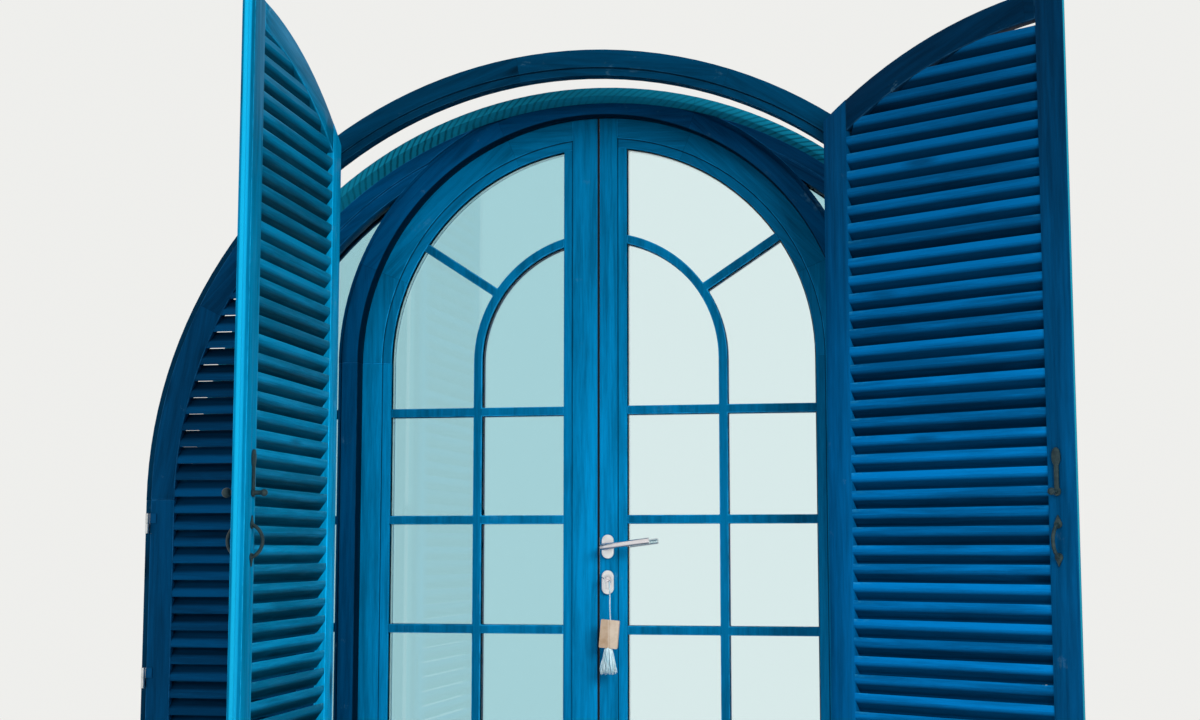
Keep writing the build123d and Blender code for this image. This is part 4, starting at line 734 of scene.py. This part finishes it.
def leather_material(name, light, shade):
    """Undyed leather with pores and handling marks, and painted shade on its folded side and in its crease.
    """
    material, shader, coordinates = start_material(name)
    pores = {"Vector": coordinates, "Scale": 900.0}
    height = result(coordinates.tree, "ShaderNodeTexVoronoi", pores, "Distance")
    marks = noise(coordinates, scale=45.0, detail=5.0, roughness=0.65)
    across = split(coordinates)["X"]
    # Painted shade on the folded side and in the crease
    fold = ramp(across, TAG_CREASE - TAG_FOLD_SHADE, TAG_CREASE, 0.6, 0.0)
    fold = calc("MAXIMUM", fold, between(across, TAG_CREASE, TAG_CREASE + TAG_CREASE_SHADOW_WIDTH) * 0.6)
    share = calc("ADD", ramp(marks, 0.4, 0.7) * 0.4, fold, clamp=True)
    surface = {"Base Color": blend(share, light, shade), "Roughness": ramp(marks, 0.3, 0.7, 0.6, 0.75)}
    return finish_material(material, shader, surface, height, strength=0.3, distance=0.0003)


# Meshes
def link_object(name, data):
    """A new object in the scene."""
    made = bpy.data.objects.new(name, data)
    bpy.context.scene.collection.objects.link(made)
    return made


def add_object(name, mesh, material, body, replaced):
    """A finished piece at the origin, riding on its body. Without a material it keeps its own."""
    made = link_object(name, mesh)
    if material is not None:
        mesh.materials.clear()
        mesh.materials.append(material)
    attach(made, body)
    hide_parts(replaced)
    return made


def settle(source):
    """A plain mesh of an object with its modifiers applied; the object goes."""
    graph = bpy.context.evaluated_depsgraph_get()
    mesh = bpy.data.meshes.new_from_object(source.evaluated_get(graph))
    bpy.data.objects.remove(source)
    return mesh


def mesh_from(shape, name):
    """A smooth mesh from a bmesh, with its faces pointing outwards."""
    bmesh.ops.recalc_face_normals(shape, faces=shape.faces)
    mesh = bpy.data.meshes.new(name)
    shape.to_mesh(mesh)
    shape.free()
    mesh.shade_smooth()
    return mesh


def add_skin(shape, rings):
    """Faces between rings of corners, with both ends closed."""
    for first, second in zip(rings, rings[1:]):
        for corner, here in enumerate(first):
            following = (corner + 1) % len(first)
            shape.faces.new((here, first[following], second[following], second[corner]))
    shape.faces.new(rings[0][::-1])
    shape.faces.new(rings[-1])


def eased_mesh(node_name, rounding, segments):
    """A node's mesh with merged corners and its edges rounded and marked."""
    mesh = frame["nodes"][node_name].data.copy()
    shape = bmesh.new()
    shape.from_mesh(mesh)
    bmesh.ops.remove_doubles(shape, verts=shape.verts, dist=1e-6)
    bmesh.ops.dissolve_limit(
        shape, angle_limit=math.radians(0.4), verts=shape.verts, edges=shape.edges, delimit={"NORMAL"}
    )
    shape.to_mesh(mesh)
    shape.free()
    mesh.materials.clear()
    for name in ("Flat", "Edge"):
        mesh.materials.append(bpy.data.materials.new(name))
    holder = link_object("easing", mesh)
    bevel = holder.modifiers.new("edges", "BEVEL")
    bevel.width = rounding
    bevel.segments = segments
    bevel.limit_method = "ANGLE"
    bevel.angle_limit = ROUNDED_ANGLE
    bevel.use_clamp_overlap = True
    bevel.material = 1
    eased = settle(holder)
    mark = eased.attributes.new("edge", "FLOAT", "FACE")
    mark.data.foreach_set("value", [float(face.material_index) for face in eased.polygons])
    eased.polygons.foreach_set("material_index", [0] * len(eased.polygons))
    eased.shade_smooth()
    eased.set_sharp_from_angle(angle=WOOD_CREASE)
    return eased


def dress(node_name, material, rounding, segments=2):
    """Show a node with rounded edges in its finish."""
    mesh = eased_mesh(node_name, rounding, segments)
    body = frame["nodes"][node_name]["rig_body"]
    return add_object(node_name + "_finished", mesh, material, body, node_name)


def paint(node_name, material):
    """Give a node its finish and keep its own mesh."""
    mesh = frame["nodes"][node_name].data
    mesh.materials.clear()
    mesh.materials.append(material)


# Slats
def rounded_outline(corners, steps):
    """A closed outline with each corner (u, v, radius) rounded."""
    outline = []
    for index, (u, v, radius) in enumerate(corners):
        here = Vector((u, v))
        before = (Vector(corners[index - 1][:2]) - here).normalized()
        after = (Vector(corners[(index + 1) % len(corners)][:2]) - here).normalized()
        cut = radius / math.tan(before.angle(after) / 2.0)
        start = here + before * cut
        end = here + after * cut
        for step in range(steps + 1):
            share = step / steps
            outline.append(start.lerp(here, share).lerp(here.lerp(end, share), share))
    return outline


def slat_blank(start, end, nose):
    """One slat from end to end, round-nosed, about its own middle line."""
    low = SLAT_EDGE / 2.0
    corners = (
        (SLAT_HALF, SLAT_RISE - low, nose * 0.5),
        (SLAT_HALF, SLAT_RISE + low, nose),
        (-SLAT_HALF, low - SLAT_RISE, nose * 0.5),
        (-SLAT_HALF, -low - SLAT_RISE, nose),
    )
    outline = rounded_outline(corners, 4)
    shape = bmesh.new()
    add_skin(shape, [[shape.verts.new((x, *corner)) for corner in outline] for x in (start, end)])
    return mesh_from(shape, "slat_blank")


def scatter(tree, low, high, seed):
    """A random number for each point."""
    inputs = {2: low, 3: high, "Seed": seed}
    return result(tree, "FunctionNodeRandomValue", inputs, 1, data_type="FLOAT")


def slat_tree():
    """Geometry nodes that stack a slat up a panel and cut its ends to the arch."""
    inputs = {
        "Slat": SHAPE,
        "Count": COUNT,
        "First level": NUMBER,
        "Pitch": NUMBER,
        "Depth": NUMBER,
        "Arch radius": NUMBER,
        "Arch centre": NUMBER,
        "Play": NUMBER,
        "Seed": COUNT,
        "Finish": "NodeSocketMaterial",
    }
    tree, given = start_group("Slat stack", inputs, {"Geometry": SHAPE}, "GeometryNodeTree")
    column = {
        "Count": given["Count"],
        "Start Location": joined(0.0, given["Depth"], given["First level"]),
        "Offset": joined(0.0, 0.0, given["Pitch"]),
    }
    line = result(tree, "GeometryNodeMeshLine", column, mode="OFFSET")
    tilt = scatter(tree, given["Play"] * -1.0, given["Play"], given["Seed"])
    copies = {"Points": line, "Instance": given["Slat"], "Rotation": joined(tilt, 0.0, 0.0)}
    stack = result(tree, "GeometryNodeInstanceOnPoints", copies)
    tone = {"Geometry": stack, "Name": "slat_tone", "Value": scatter(tree, 0.0, 1.0, given["Seed"])}
    toned = result(tree, "GeometryNodeStoreNamedAttribute", tone, data_type="FLOAT", domain="INSTANCE")
    real = result(tree, "GeometryNodeRealizeInstances", {0: toned})
    place = split(result(tree, "GeometryNodeInputPosition"))
    rise = calc("MAXIMUM", place["Z"] - given["Arch centre"], 0.0)
    reach = given["Arch radius"] * given["Arch radius"] - rise * rise
    limit = calc("SQRT", calc("MAXIMUM", reach, 0.0))
    kept = calc("MINIMUM", calc("ABSOLUTE", place["X"]), limit) * calc("SIGN", place["X"])
    moved = {"Geometry": real, "Position": joined(kept, place["Y"], place["Z"])}
    cut = result(tree, "GeometryNodeSetPosition", moved)
    done = result(tree, "GeometryNodeSetMaterial", {"Geometry": cut, "Material": given["Finish"]})
    return finish_group(tree, {"Geometry": done})


def set_inputs(modifier, values):
    """Set a geometry nodes modifier's inputs by their sockets' identifiers."""
    identifiers = {
        item.name: item.identifier
        for item in modifier.node_group.interface.items_tree
        if item.item_type == "SOCKET" and item.in_out == "INPUT"
    }
    for label, value in values.items():
        modifier[identifiers[label]] = value


def slat_count(near):
    """How many slats find room under the arch, as in the model."""
    top = OUTER_CENTRE + math.sqrt(SLAT_ARC**2 - (near + STILE + SLAT_SHORTEST) ** 2)
    return int((top - FIRST_SLAT_TOP) / SLAT_PITCH) + 1


def turned(point, panel):
    """A closed panel's point, turned with the panel about its fold line."""
    side, turn, _, _ = PANELS[panel]
    centre = Vector((side * FOLD_X, FOLD_Y, 0.0))
    return centre + Matrix.Rotation(turn, 3, "Z") @ (Vector(point) - centre)


def make_slats(panel, material, tree, looks, seed):
    """The slats of one panel, in place of the model's plain ones."""
    side, _, near, far = PANELS[panel]
    holder = link_object("slats", slat_blank(side * (near + STILE), side * (far - STILE), looks.slat_nose))
    modifier = holder.modifiers.new("stack", "NODES")
    modifier.node_group = tree
    values = {
        "Count": slat_count(near),
        "First level": FIRST_SLAT,
        "Pitch": SLAT_PITCH,
        "Depth": (PANEL_IN_Y + PANEL_OUT_Y) / 2.0,
        "Arch radius": SLAT_ARC,
        "Arch centre": OUTER_CENTRE,
        "Play": looks.slat_play,
        "Seed": seed,
        "Finish": material,
    }
    set_inputs(modifier, values)
    mesh = settle(holder)
    for vertex in mesh.vertices:
        vertex.co = turned(vertex.co, panel)
    mesh.shade_smooth()
    mesh.set_sharp_from_angle(angle=SLAT_CREASE)
    name = f"shutter_{panel}_slats"
    return add_object(name + "_finished", mesh, None, f"shutter_{panel}", name)


def make_seal(material):
    """The round-nosed sealing strip that darkens the gap, down the whole meeting edge of the left leaf."""
    shape = bmesh.new()
    levels = (SEAL_BOTTOM, SEAL_TOP)
    outline = SEAL_BACK + SEAL_NOSE
    add_skin(shape, [[shape.verts.new((*corner, level)) for corner in outline] for level in levels])
    mesh = mesh_from(shape, "seal")
    mesh.set_sharp_from_angle(angle=SEAL_CREASE)
    return add_object("meeting_seal_strip", mesh, material, "door_left", "meeting_seal")


# The key fob
def spline_points(route):
    """The smooth line of a cord's route, as points read from its spline."""
    curve = bpy.data.curves.new("route", "CURVE")
    curve.dimensions = "3D"
    curve.resolution_u = 24
    spline = curve.splines.new("NURBS")
    spline.points.add(len(route) - 1)
    for point, place in zip(spline.points, route):
        point.co = (*place, 1.0)
    spline.order_u = 3
    spline.use_endpoint_u = True
    mesh = settle(link_object("route", curve))
    points = [vertex.co.copy() for vertex in mesh.vertices]
    bpy.data.meshes.remove(mesh)
    bpy.data.curves.remove(curve)
    return points


def circle_points(points, radii, angles):
    """For each point of a line, points round it at its radius and at each of its angles."""
    placed = []
    across = None
    for index, point in enumerate(points):
        ahead = (points[min(index + 1, len(points) - 1)] - points[max(index - 1, 0)]).normalized()
        if across is None:
            across = ahead.orthogonal().normalized()
        across = (across - ahead * across.dot(ahead)).normalized()
        up = ahead.cross(across)
        spokes = [across * math.cos(angle) + up * math.sin(angle) for angle in angles[index]]
        placed.append([point + spoke * radii[index] for spoke in spokes])
    return placed


def add_tube(shape, points, radii, sides):
    """A closed tube along points, with its own radius at each."""
    angles = [2.0 * math.pi * corner / sides for corner in range(sides)]
    rings = circle_points(points, radii, [angles] * len(points))
    add_skin(shape, [[shape.verts.new(corner) for corner in ring] for ring in rings])


def resample(points, count):
    """Points at even steps along a line."""
    lengths = [0.0]
    for before, after in zip(points, points[1:]):
        lengths.append(lengths[-1] + (after - before).length)
    even = []
    index = 0
    for step in range(count):
        target = lengths[-1] * step / (count - 1)
        while index < len(points) - 2 and lengths[index + 1] < target:
            index += 1
        span = lengths[index + 1] - lengths[index]
        share = (target - lengths[index]) / span if span else 0.0
        even.append(points[index].lerp(points[index + 1], share))
    return even


def make_string(material):
    """The fob's string: three strands laid round each other."""
    path = resample(spline_points(STRING_ROUTE), STRING_STEPS)
    shape = bmesh.new()
    lay = [STRAND_LAY] * STRING_STEPS
    thickness = [STRAND_RADIUS] * STRING_STEPS
    for strand in range(STRING_STRANDS):
        angles = [
            [2.0 * math.pi * (strand / STRING_STRANDS + step / STRING_STEPS * STRING_TURNS)]
            for step in range(STRING_STEPS)
        ]
        add_tube(shape, [point for (point,) in circle_points(path, lay, angles)], thickness, 7)
    mesh = mesh_from(shape, "key_string_twisted")
    return add_object("key_string_twisted", mesh, material, "fob", "key_string"), path


def make_tassel(material, strands):
    """A tassel of loose yarn that spreads from its bound neck."""
    chance = random.Random(TASSEL_SEED)
    top = TAG_TOP + Matrix.Rotation(TAG_LEAN, 3, "Y") @ Vector((0.0, 0.0, TASSEL_TUCK - TAG_HEIGHT))
    shares = [step / TASSEL_STEPS for step in range(TASSEL_STEPS + 1)]
    shape = bmesh.new()
    for _ in range(strands):
        angle = chance.uniform(0.0, 2.0 * math.pi)
        spread = math.sqrt(chance.random())
        length = TASSEL_LENGTH * chance.uniform(0.82, 1.0)
        phase = chance.uniform(0.0, 6.0)
        swing = chance.uniform(0.6, 2.6) * 0.001
        line = []
        for share in shares:
            radius = (TASSEL_NECK + TASSEL_SPREAD * share**0.5) * spread
            offset = Vector((math.cos(angle) * radius, math.sin(angle) * radius * 0.65, -length * share))
            waver = Vector((math.sin(phase + share * 7.0), math.cos(phase + share * 6.0), 0.0))
            offset += waver * swing * share
            line.append(top + offset)
        add_tube(shape, line, [TASSEL_YARN * (1.0 - 0.25 * share) for share in shares], 5)
    for turn in range(BINDING_TURNS):
        ring = []
        level = Vector((0.0, 0.0, BINDING_DROP + BINDING_PITCH * turn))
        for corner in range(BINDING_STEPS + 1):
            angle = 2.0 * math.pi * corner / BINDING_STEPS
            ring.append(top + Vector((math.cos(angle), math.sin(angle), 0.0)) * BINDING_RADIUS - level)
        add_tube(shape, ring, [BINDING_YARN] * len(ring), 5)
    mesh = mesh_from(shape, "tassel")
    return add_object("key_tassel_yarn", mesh, material, "fob", "key_tassel")


# Stage
def area_lamp(name, place, target, size, power, colour):
    """A soft rectangular lamp aimed at a point, seen neither directly nor in glass."""
    lamp = bpy.data.lights.new(name, "AREA")
    lamp.shape = "RECTANGLE"
    lamp.size, lamp.size_y = size
    lamp.energy = power
    lamp.color = colour
    made = link_object(name, lamp)
    made.location = place
    made.rotation_euler = (Vector(target) - Vector(place)).to_track_quat("-Z", "Y").to_euler()
    made.visible_camera = False
    made.visible_glossy = False
    made.visible_transmission = False


def make_sky():
    """A sky that is pale to the camera and in reflections, and dimmer as a lamp."""
    world = bpy.data.worlds.new("sky")
    bpy.context.scene.world = world
    world.use_nodes = True
    tree = world.node_tree
    tree.nodes.clear()
    path = outputs_of(tree, node(tree, "ShaderNodeLightPath"))
    seen = calc("MAXIMUM", path["Is Camera Ray"], path["Is Transmission Ray"])
    seen = calc("MAXIMUM", seen, path["Is Glossy Ray"])
    shown = result(tree, "ShaderNodeBackground", {"Color": (0.86, 0.86, 0.84, 1.0), "Strength": 1.0})
    lit = result(tree, "ShaderNodeBackground", {"Color": (0.93, 0.97, 1.0, 1.0), "Strength": 0.5})
    mixed = result(tree, "ShaderNodeMixShader", {0: seen, 1: lit, 2: shown})
    node(tree, "ShaderNodeOutputWorld", {"Surface": mixed})


def make_floor():
    """A plain pale floor."""
    shape = bmesh.new()
    bmesh.ops.create_grid(shape, x_segments=1, y_segments=1, size=FLOOR_HALF)
    mesh = bpy.data.meshes.new("floor")
    shape.to_mesh(mesh)
    shape.free()
    material, shader, coordinates = start_material("Pale floor")
    grain = noise(coordinates, scale=3.0, detail=4.0)
    colour = blend(grain, (0.74, 0.73, 0.71, 1.0), (0.78, 0.77, 0.75, 1.0))
    fill(shader, {"Base Color": colour, "Roughness": 0.9})
    mesh.materials.append(material)
    link_object("floor", mesh)


def stain_setting(name, description, *screen):
    """A colour that a user may change, from its screen values."""
    return bpy.props.FloatVectorProperty(
        name=name, description=description, subtype="COLOR", size=4, default=tint(*screen)
    )


def size_setting(name, description, subtype, default):
    """A size that a user may change."""
    return bpy.props.FloatProperty(name=name, description=description, subtype=subtype, default=default)


class WindowLooks(bpy.types.PropertyGroup):
    """Sizes and colours that a user may change."""

    door_stain: stain_setting("Door stain", "Stain of the door leaves", 0, 134, 194)
    frame_stain: stain_setting("Frame stain", "Stain of the main frame and door frame", 0, 70, 116)
    outer_frame_stain: stain_setting("Outer frame stain", "Stain of the outer frame", 0, 54, 85)
    lining_stain: stain_setting("Lining stain", "Thin stain of the lining", 14, 122, 152)
    # The folding panels' stains are partly painted light and shade: the left one lighter for its lit face,
    # the right and outer ones darker for their shaded faces
    left_stain_lit: stain_setting("Left shutter stain", "Stain of the left folding panel", 0, 124, 170)
    right_stain_shaded: stain_setting("Right shutter stain", "Stain of the right folding panel", 0, 82, 134)
    outer_stain: stain_setting("Outer shutter stain", "Stain of the panels hinged on the frame", 0, 70, 114)
    edge_rounding: size_setting("Edge rounding", "Rounding of the wood's edges", "DISTANCE", 0.0016)
    slat_nose: size_setting("Slat nose", "Rounding of the slats' noses", "DISTANCE", 0.0028)
    slat_play: size_setting("Slat play", "How far a slat may be turned from true", "ANGLE", 0.006)
    key_light: size_setting("Key light", "Power of the main lamp", "POWER", 320.0)
    tassel_strands: bpy.props.IntProperty(
        name="Tassel strands", description="Strands in the tassel", default=110
    )


class WINDOW_OT_stage(bpy.types.Operator):
    """Camera, lamps, sky and floor"""

    bl_idname = "window.stage"
    bl_label = "Stage"

    def execute(self, context):
        camera = bpy.data.cameras.new("camera")
        camera.lens = CAMERA_LENS
        camera.sensor_width = CAMERA_SENSOR
        viewer = link_object("camera", camera)
        viewer.location = CAMERA_PLACE
        viewer.rotation_euler = CAMERA_TURN
        context.scene.camera = viewer
        context.scene.view_settings.view_transform = "Standard"
        key_light = context.scene.window_looks.key_light
        for name, (place, target, size, share, colour) in LAMPS.items():
            area_lamp(name, place, target, size, key_light * share, colour)
        make_sky()
        make_floor()
        return {"FINISHED"}


class WINDOW_OT_fob(bpy.types.Operator):
    """The key fob: string, tag and tassel"""

    bl_idname = "window.fob"
    bl_label = "Key fob"

    def execute(self, context):
        string, path = make_string(yarn_material("String", tint(214, 232, 238), tint(112, 168, 196)))
        paint("key_tag", leather_material("Tag leather", tint(206, 190, 172), tint(166, 138, 110)))
        yarn = yarn_material("Tassel yarn", tint(222, 242, 248), tint(146, 200, 218))
        make_tassel(yarn, context.scene.window_looks.tassel_strands)
        return {"FINISHED"}


class WINDOW_OT_frames(bpy.types.Operator):
    """Sill, outer frame, main frame, door frame and sidelight woodwork"""

    bl_idname = "window.frames"
    bl_label = "Frames"

    def execute(self, context):
        looks = context.scene.window_looks
        stain = tuple(looks.frame_stain)
        outer_stain, lining = tuple(looks.outer_frame_stain), tuple(looks.lining_stain)
        outer = wood_material("Outer frame wood", outer_stain, arch=OUTER_ARCH, wear=0.1)
        main = wood_material("Main frame wood", stain, arch=MAIN_ARCH, lining=lining)
        # The door frame gets painted shade towards the top and painted shadow in its reveal round the leaves
        worn = {"wear": 0.15, "knots": 0.4, "painted_top_shade": 0.85, "shadowed_recess": SHADOWED_REVEAL_RADIUS}
        door = wood_material("Door frame wood", darker(stain, 1.1), arch=DOOR_ARCH, **worn)
        level = wood_material("Level frame wood", stain, grain="level", wear=0.2)
        bead = wood_material("Glazing bead wood", stain, arch=BEAD_ARCH)
        dress("sill", level, looks.edge_rounding)
        dress("outer_frame_arch", outer, looks.edge_rounding * OUTER_ARCH_SHARE)
        finishes = {
            "outer_frame_legs": outer,
            "main_frame_arch": main,
            "main_frame_jambs": main,
            "door_frame_arch": door,
            "door_posts": door,
            "sidelight_rails": level,
            "sidelight_bars": level,
            "sidelight_beads": bead,
        }
        for name, material in finishes.items():
            dress(name, material, looks.edge_rounding)
        return {"FINISHED"}


class WINDOW_OT_doors(bpy.types.Operator):
    """Woodwork of the two door leaves"""

    bl_idname = "window.doors"
    bl_label = "Door leaves"

    def execute(self, context):
        looks = context.scene.window_looks
        stain = tuple(looks.door_stain)
        # The leaves get painted shade towards the top and painted shadow lines beside the glazing beads
        worn = {"wear": 0.08, "knots": 0.25, "bead": True}
        upright = wood_material("Door stile wood", stain, painted_top_shade=0.6, **worn)
        rail = wood_material("Door rail wood", stain, grain="level", arch=DOOR_ARCH, painted_top_shade=0.48, **worn)
        bars = wood_material("Glazing bar wood", darker(stain, 0.72), wear=0.05, knots=0.0, painted_top_shade=0.65)
        for side in ("left", "right"):
            dress(f"door_{side}_stiles", upright, looks.edge_rounding)
            dress(f"door_{side}_rails", rail, looks.edge_rounding)
            dress(f"door_{side}_bars", bars, looks.edge_rounding * BAR_SHARE, 3)
        make_seal(rubber_material("Sealing strip"))
        return {"FINISHED"}


class WINDOW_OT_glazing(bpy.types.Operator):
    """Panes and spacers"""

    bl_idname = "window.glazing"
    bl_label = "Glazing"

    def execute(self, context):
        # Painted reflection: one glass in two brightnesses, darker in the sidelight and left leaf, brighter
        # in the right leaf
        darker_glass = glass_material("Darker glass", (0.64, 0.85, 0.89, 1.0))
        paint("sidelight_glass", darker_glass)
        paint("door_left_glass", darker_glass)
        paint("door_right_glass", glass_material("Brighter glass", (0.89, 0.975, 0.985, 1.0)))
        bright, dull = (0.78, 0.8, 0.81, 1.0), (0.6, 0.62, 0.63, 1.0)
        spacer = metal_material("Spacer aluminium", bright, dull, gloss=0.32, age=0.3, relief=0.1)
        for name in ("door_left_spacer", "door_right_spacer"):
            paint(name, spacer)
        return {"FINISHED"}


def panel_title(panel):
    """A panel's name as the start of a material's name."""
    return panel.replace("_", " ").capitalize()


def panel_stains(looks):
    """The stain of each shutter panel, brightened and darkened as painted light and shade."""
    stains = (looks.outer_stain, looks.outer_stain, looks.left_stain_lit, looks.right_stain_shaded)
    return {panel: tuple(stain) for panel, stain in zip(PANELS, stains)}


class WINDOW_OT_shutters(bpy.types.Operator):
    """Stiles, rails and slats of the four shutter panels"""

    bl_idname = "window.shutters"
    bl_label = "Shutter panels"

    def execute(self, context):
        looks = context.scene.window_looks
        tree = slat_tree()
        rounding = looks.edge_rounding * PANEL_SHARE
        for seed, (panel, stain) in enumerate(panel_stains(looks).items(), start=3):
            title = panel_title(panel)
            wear, rails, slats, painted_slope_shade, painted_top_shade, sides = PANEL_FINISHES[panel]
            # Wear, with painted shade towards the top and painted light and shade across the panel's width
            rubbed = {"panel": panel, "wear": wear * 0.4, "painted_top_shade": painted_top_shade, "sides": sides}
            stile = wood_material(title + " stile wood", stain, **rubbed)
            bent = {"grain": "level", "arch": PANEL_ARCH, "panel": panel, "wear": 0.2}
            rail = wood_material(title + " rail wood", darker(stain, rails), **bent)
            slat = slat_material(title + " slat wood", darker(stain, slats), panel, wear, painted_slope_shade, painted_top_shade)
            dress(f"shutter_{panel}_stiles", stile, rounding)
            dress(f"shutter_{panel}_rails", rail, rounding)
            make_slats(panel, slat, tree, looks, seed)
        return {"FINISHED"}


class WINDOW_OT_ironwork(bpy.types.Operator):
    """Hinges, shutter latches and pulls"""

    bl_idname = "window.ironwork"
    bl_label = "Ironwork"

    def execute(self, context):
        looks = context.scene.window_looks
        bright, dull = (0.66, 0.67, 0.66, 1.0), (0.4, 0.38, 0.35, 1.0)
        steel = metal_material("Hinge steel", bright, dull, gloss=0.3, age=0.4)
        for name in ("door_frame_hinges", "door_left_hinges", "door_right_hinges"):
            dress(name, steel, HINGE_ROUNDING)
        jamb = hinge_material("Jamb hinge steel", KNUCKLE_STEEL, tuple(looks.outer_frame_stain))
        dress("shutter_jamb_hinges", jamb, HINGE_ROUNDING)
        for panel, stain in panel_stains(looks).items():
            hinge = hinge_material(panel_title(panel) + " hinge steel", KNUCKLE_STEEL, stain)
            dress(f"shutter_{panel}_hinges", hinge, HINGE_ROUNDING)
        dark, rubbed = tint(18, 40, 46), tint(58, 76, 76)
        iron = metal_material("Antique iron", dark, rubbed, gloss=0.45, age=0.5, metallic=0.3, relief=0.6)
        for side in ("left", "right"):
            dress(f"shutter_latch_{side}", iron, LATCH_ROUNDING)
            dress(f"shutter_inner_{side}_pulls", iron, PULL_ROUNDING)
        return {"FINISHED"}


class WINDOW_OT_lock(bpy.types.Operator):
    """Lever handles, roses, cylinder, key, lock case and bolts"""

    bl_idname = "window.lock"
    bl_label = "Lock"

    def execute(self, context):
        bright, dull = (0.94, 0.95, 0.96, 1.0), (0.82, 0.83, 0.84, 1.0)
        satin = metal_material("Satin steel", bright, dull, gloss=0.32, age=0.25, relief=0.08)
        warm, smoky = (0.82, 0.79, 0.82, 1.0), (0.6, 0.55, 0.6, 1.0)
        polished = metal_material("Lever steel", warm, smoky, gloss=0.14, age=0.2, relief=0.05)
        dress("lock_roses", satin, ROSE_ROUNDING, 3)
        dress("lever_handles", polished, LEVER_ROUNDING)
        dress("lock_cylinder", satin, LOCK_ROUNDING)
        dress("key", polished, KEY_ROUNDING)
        bolts = ("latch_bolt", "deadbolt", "strike_plate", "flush_bolt_top", "flush_bolt_bottom")
        for name in ("lock_case", *bolts):
            dress(name, satin, LOCK_ROUNDING)
        return {"FINISHED"}


class WINDOW_PT_panel(bpy.types.Panel):
    """The pieces of the window"""

    bl_label = "Arched French Window"
    bl_idname = "WINDOW_PT_panel"
    bl_space_type = "VIEW_3D"
    bl_region_type = "UI"
    bl_category = "Window"

    def draw(self, context):
        looks = context.scene.window_looks
        for name in WindowLooks.__annotations__:
            self.layout.prop(looks, name)
        for operator in OPERATORS:
            self.layout.operator(operator.bl_idname)


OPERATORS = (
    WINDOW_OT_stage, WINDOW_OT_fob, WINDOW_OT_frames, WINDOW_OT_doors,
    WINDOW_OT_glazing, WINDOW_OT_shutters, WINDOW_OT_ironwork, WINDOW_OT_lock,
)


def register():
    """Add the classes and the settings."""
    for entry in (WindowLooks, *OPERATORS, WINDOW_PT_panel):
        bpy.utils.register_class(entry)
    bpy.types.Scene.window_looks = bpy.props.PointerProperty(type=WindowLooks)


def unregister():
    """Take the settings and the classes away again."""
    del bpy.types.Scene.window_looks
    for entry in (WINDOW_PT_panel, *OPERATORS[::-1], WindowLooks):
        bpy.utils.unregister_class(entry)


def main():
    """Build everything in order."""
    register()
    bpy.ops.window.stage()
    bpy.ops.window.fob()
    bpy.ops.window.frames()
    bpy.ops.window.doors()
    bpy.ops.window.glazing()
    bpy.ops.window.shutters()
    bpy.ops.window.ironwork()
    bpy.ops.window.lock()
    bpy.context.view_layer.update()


if __name__ == "__main__":
    main()
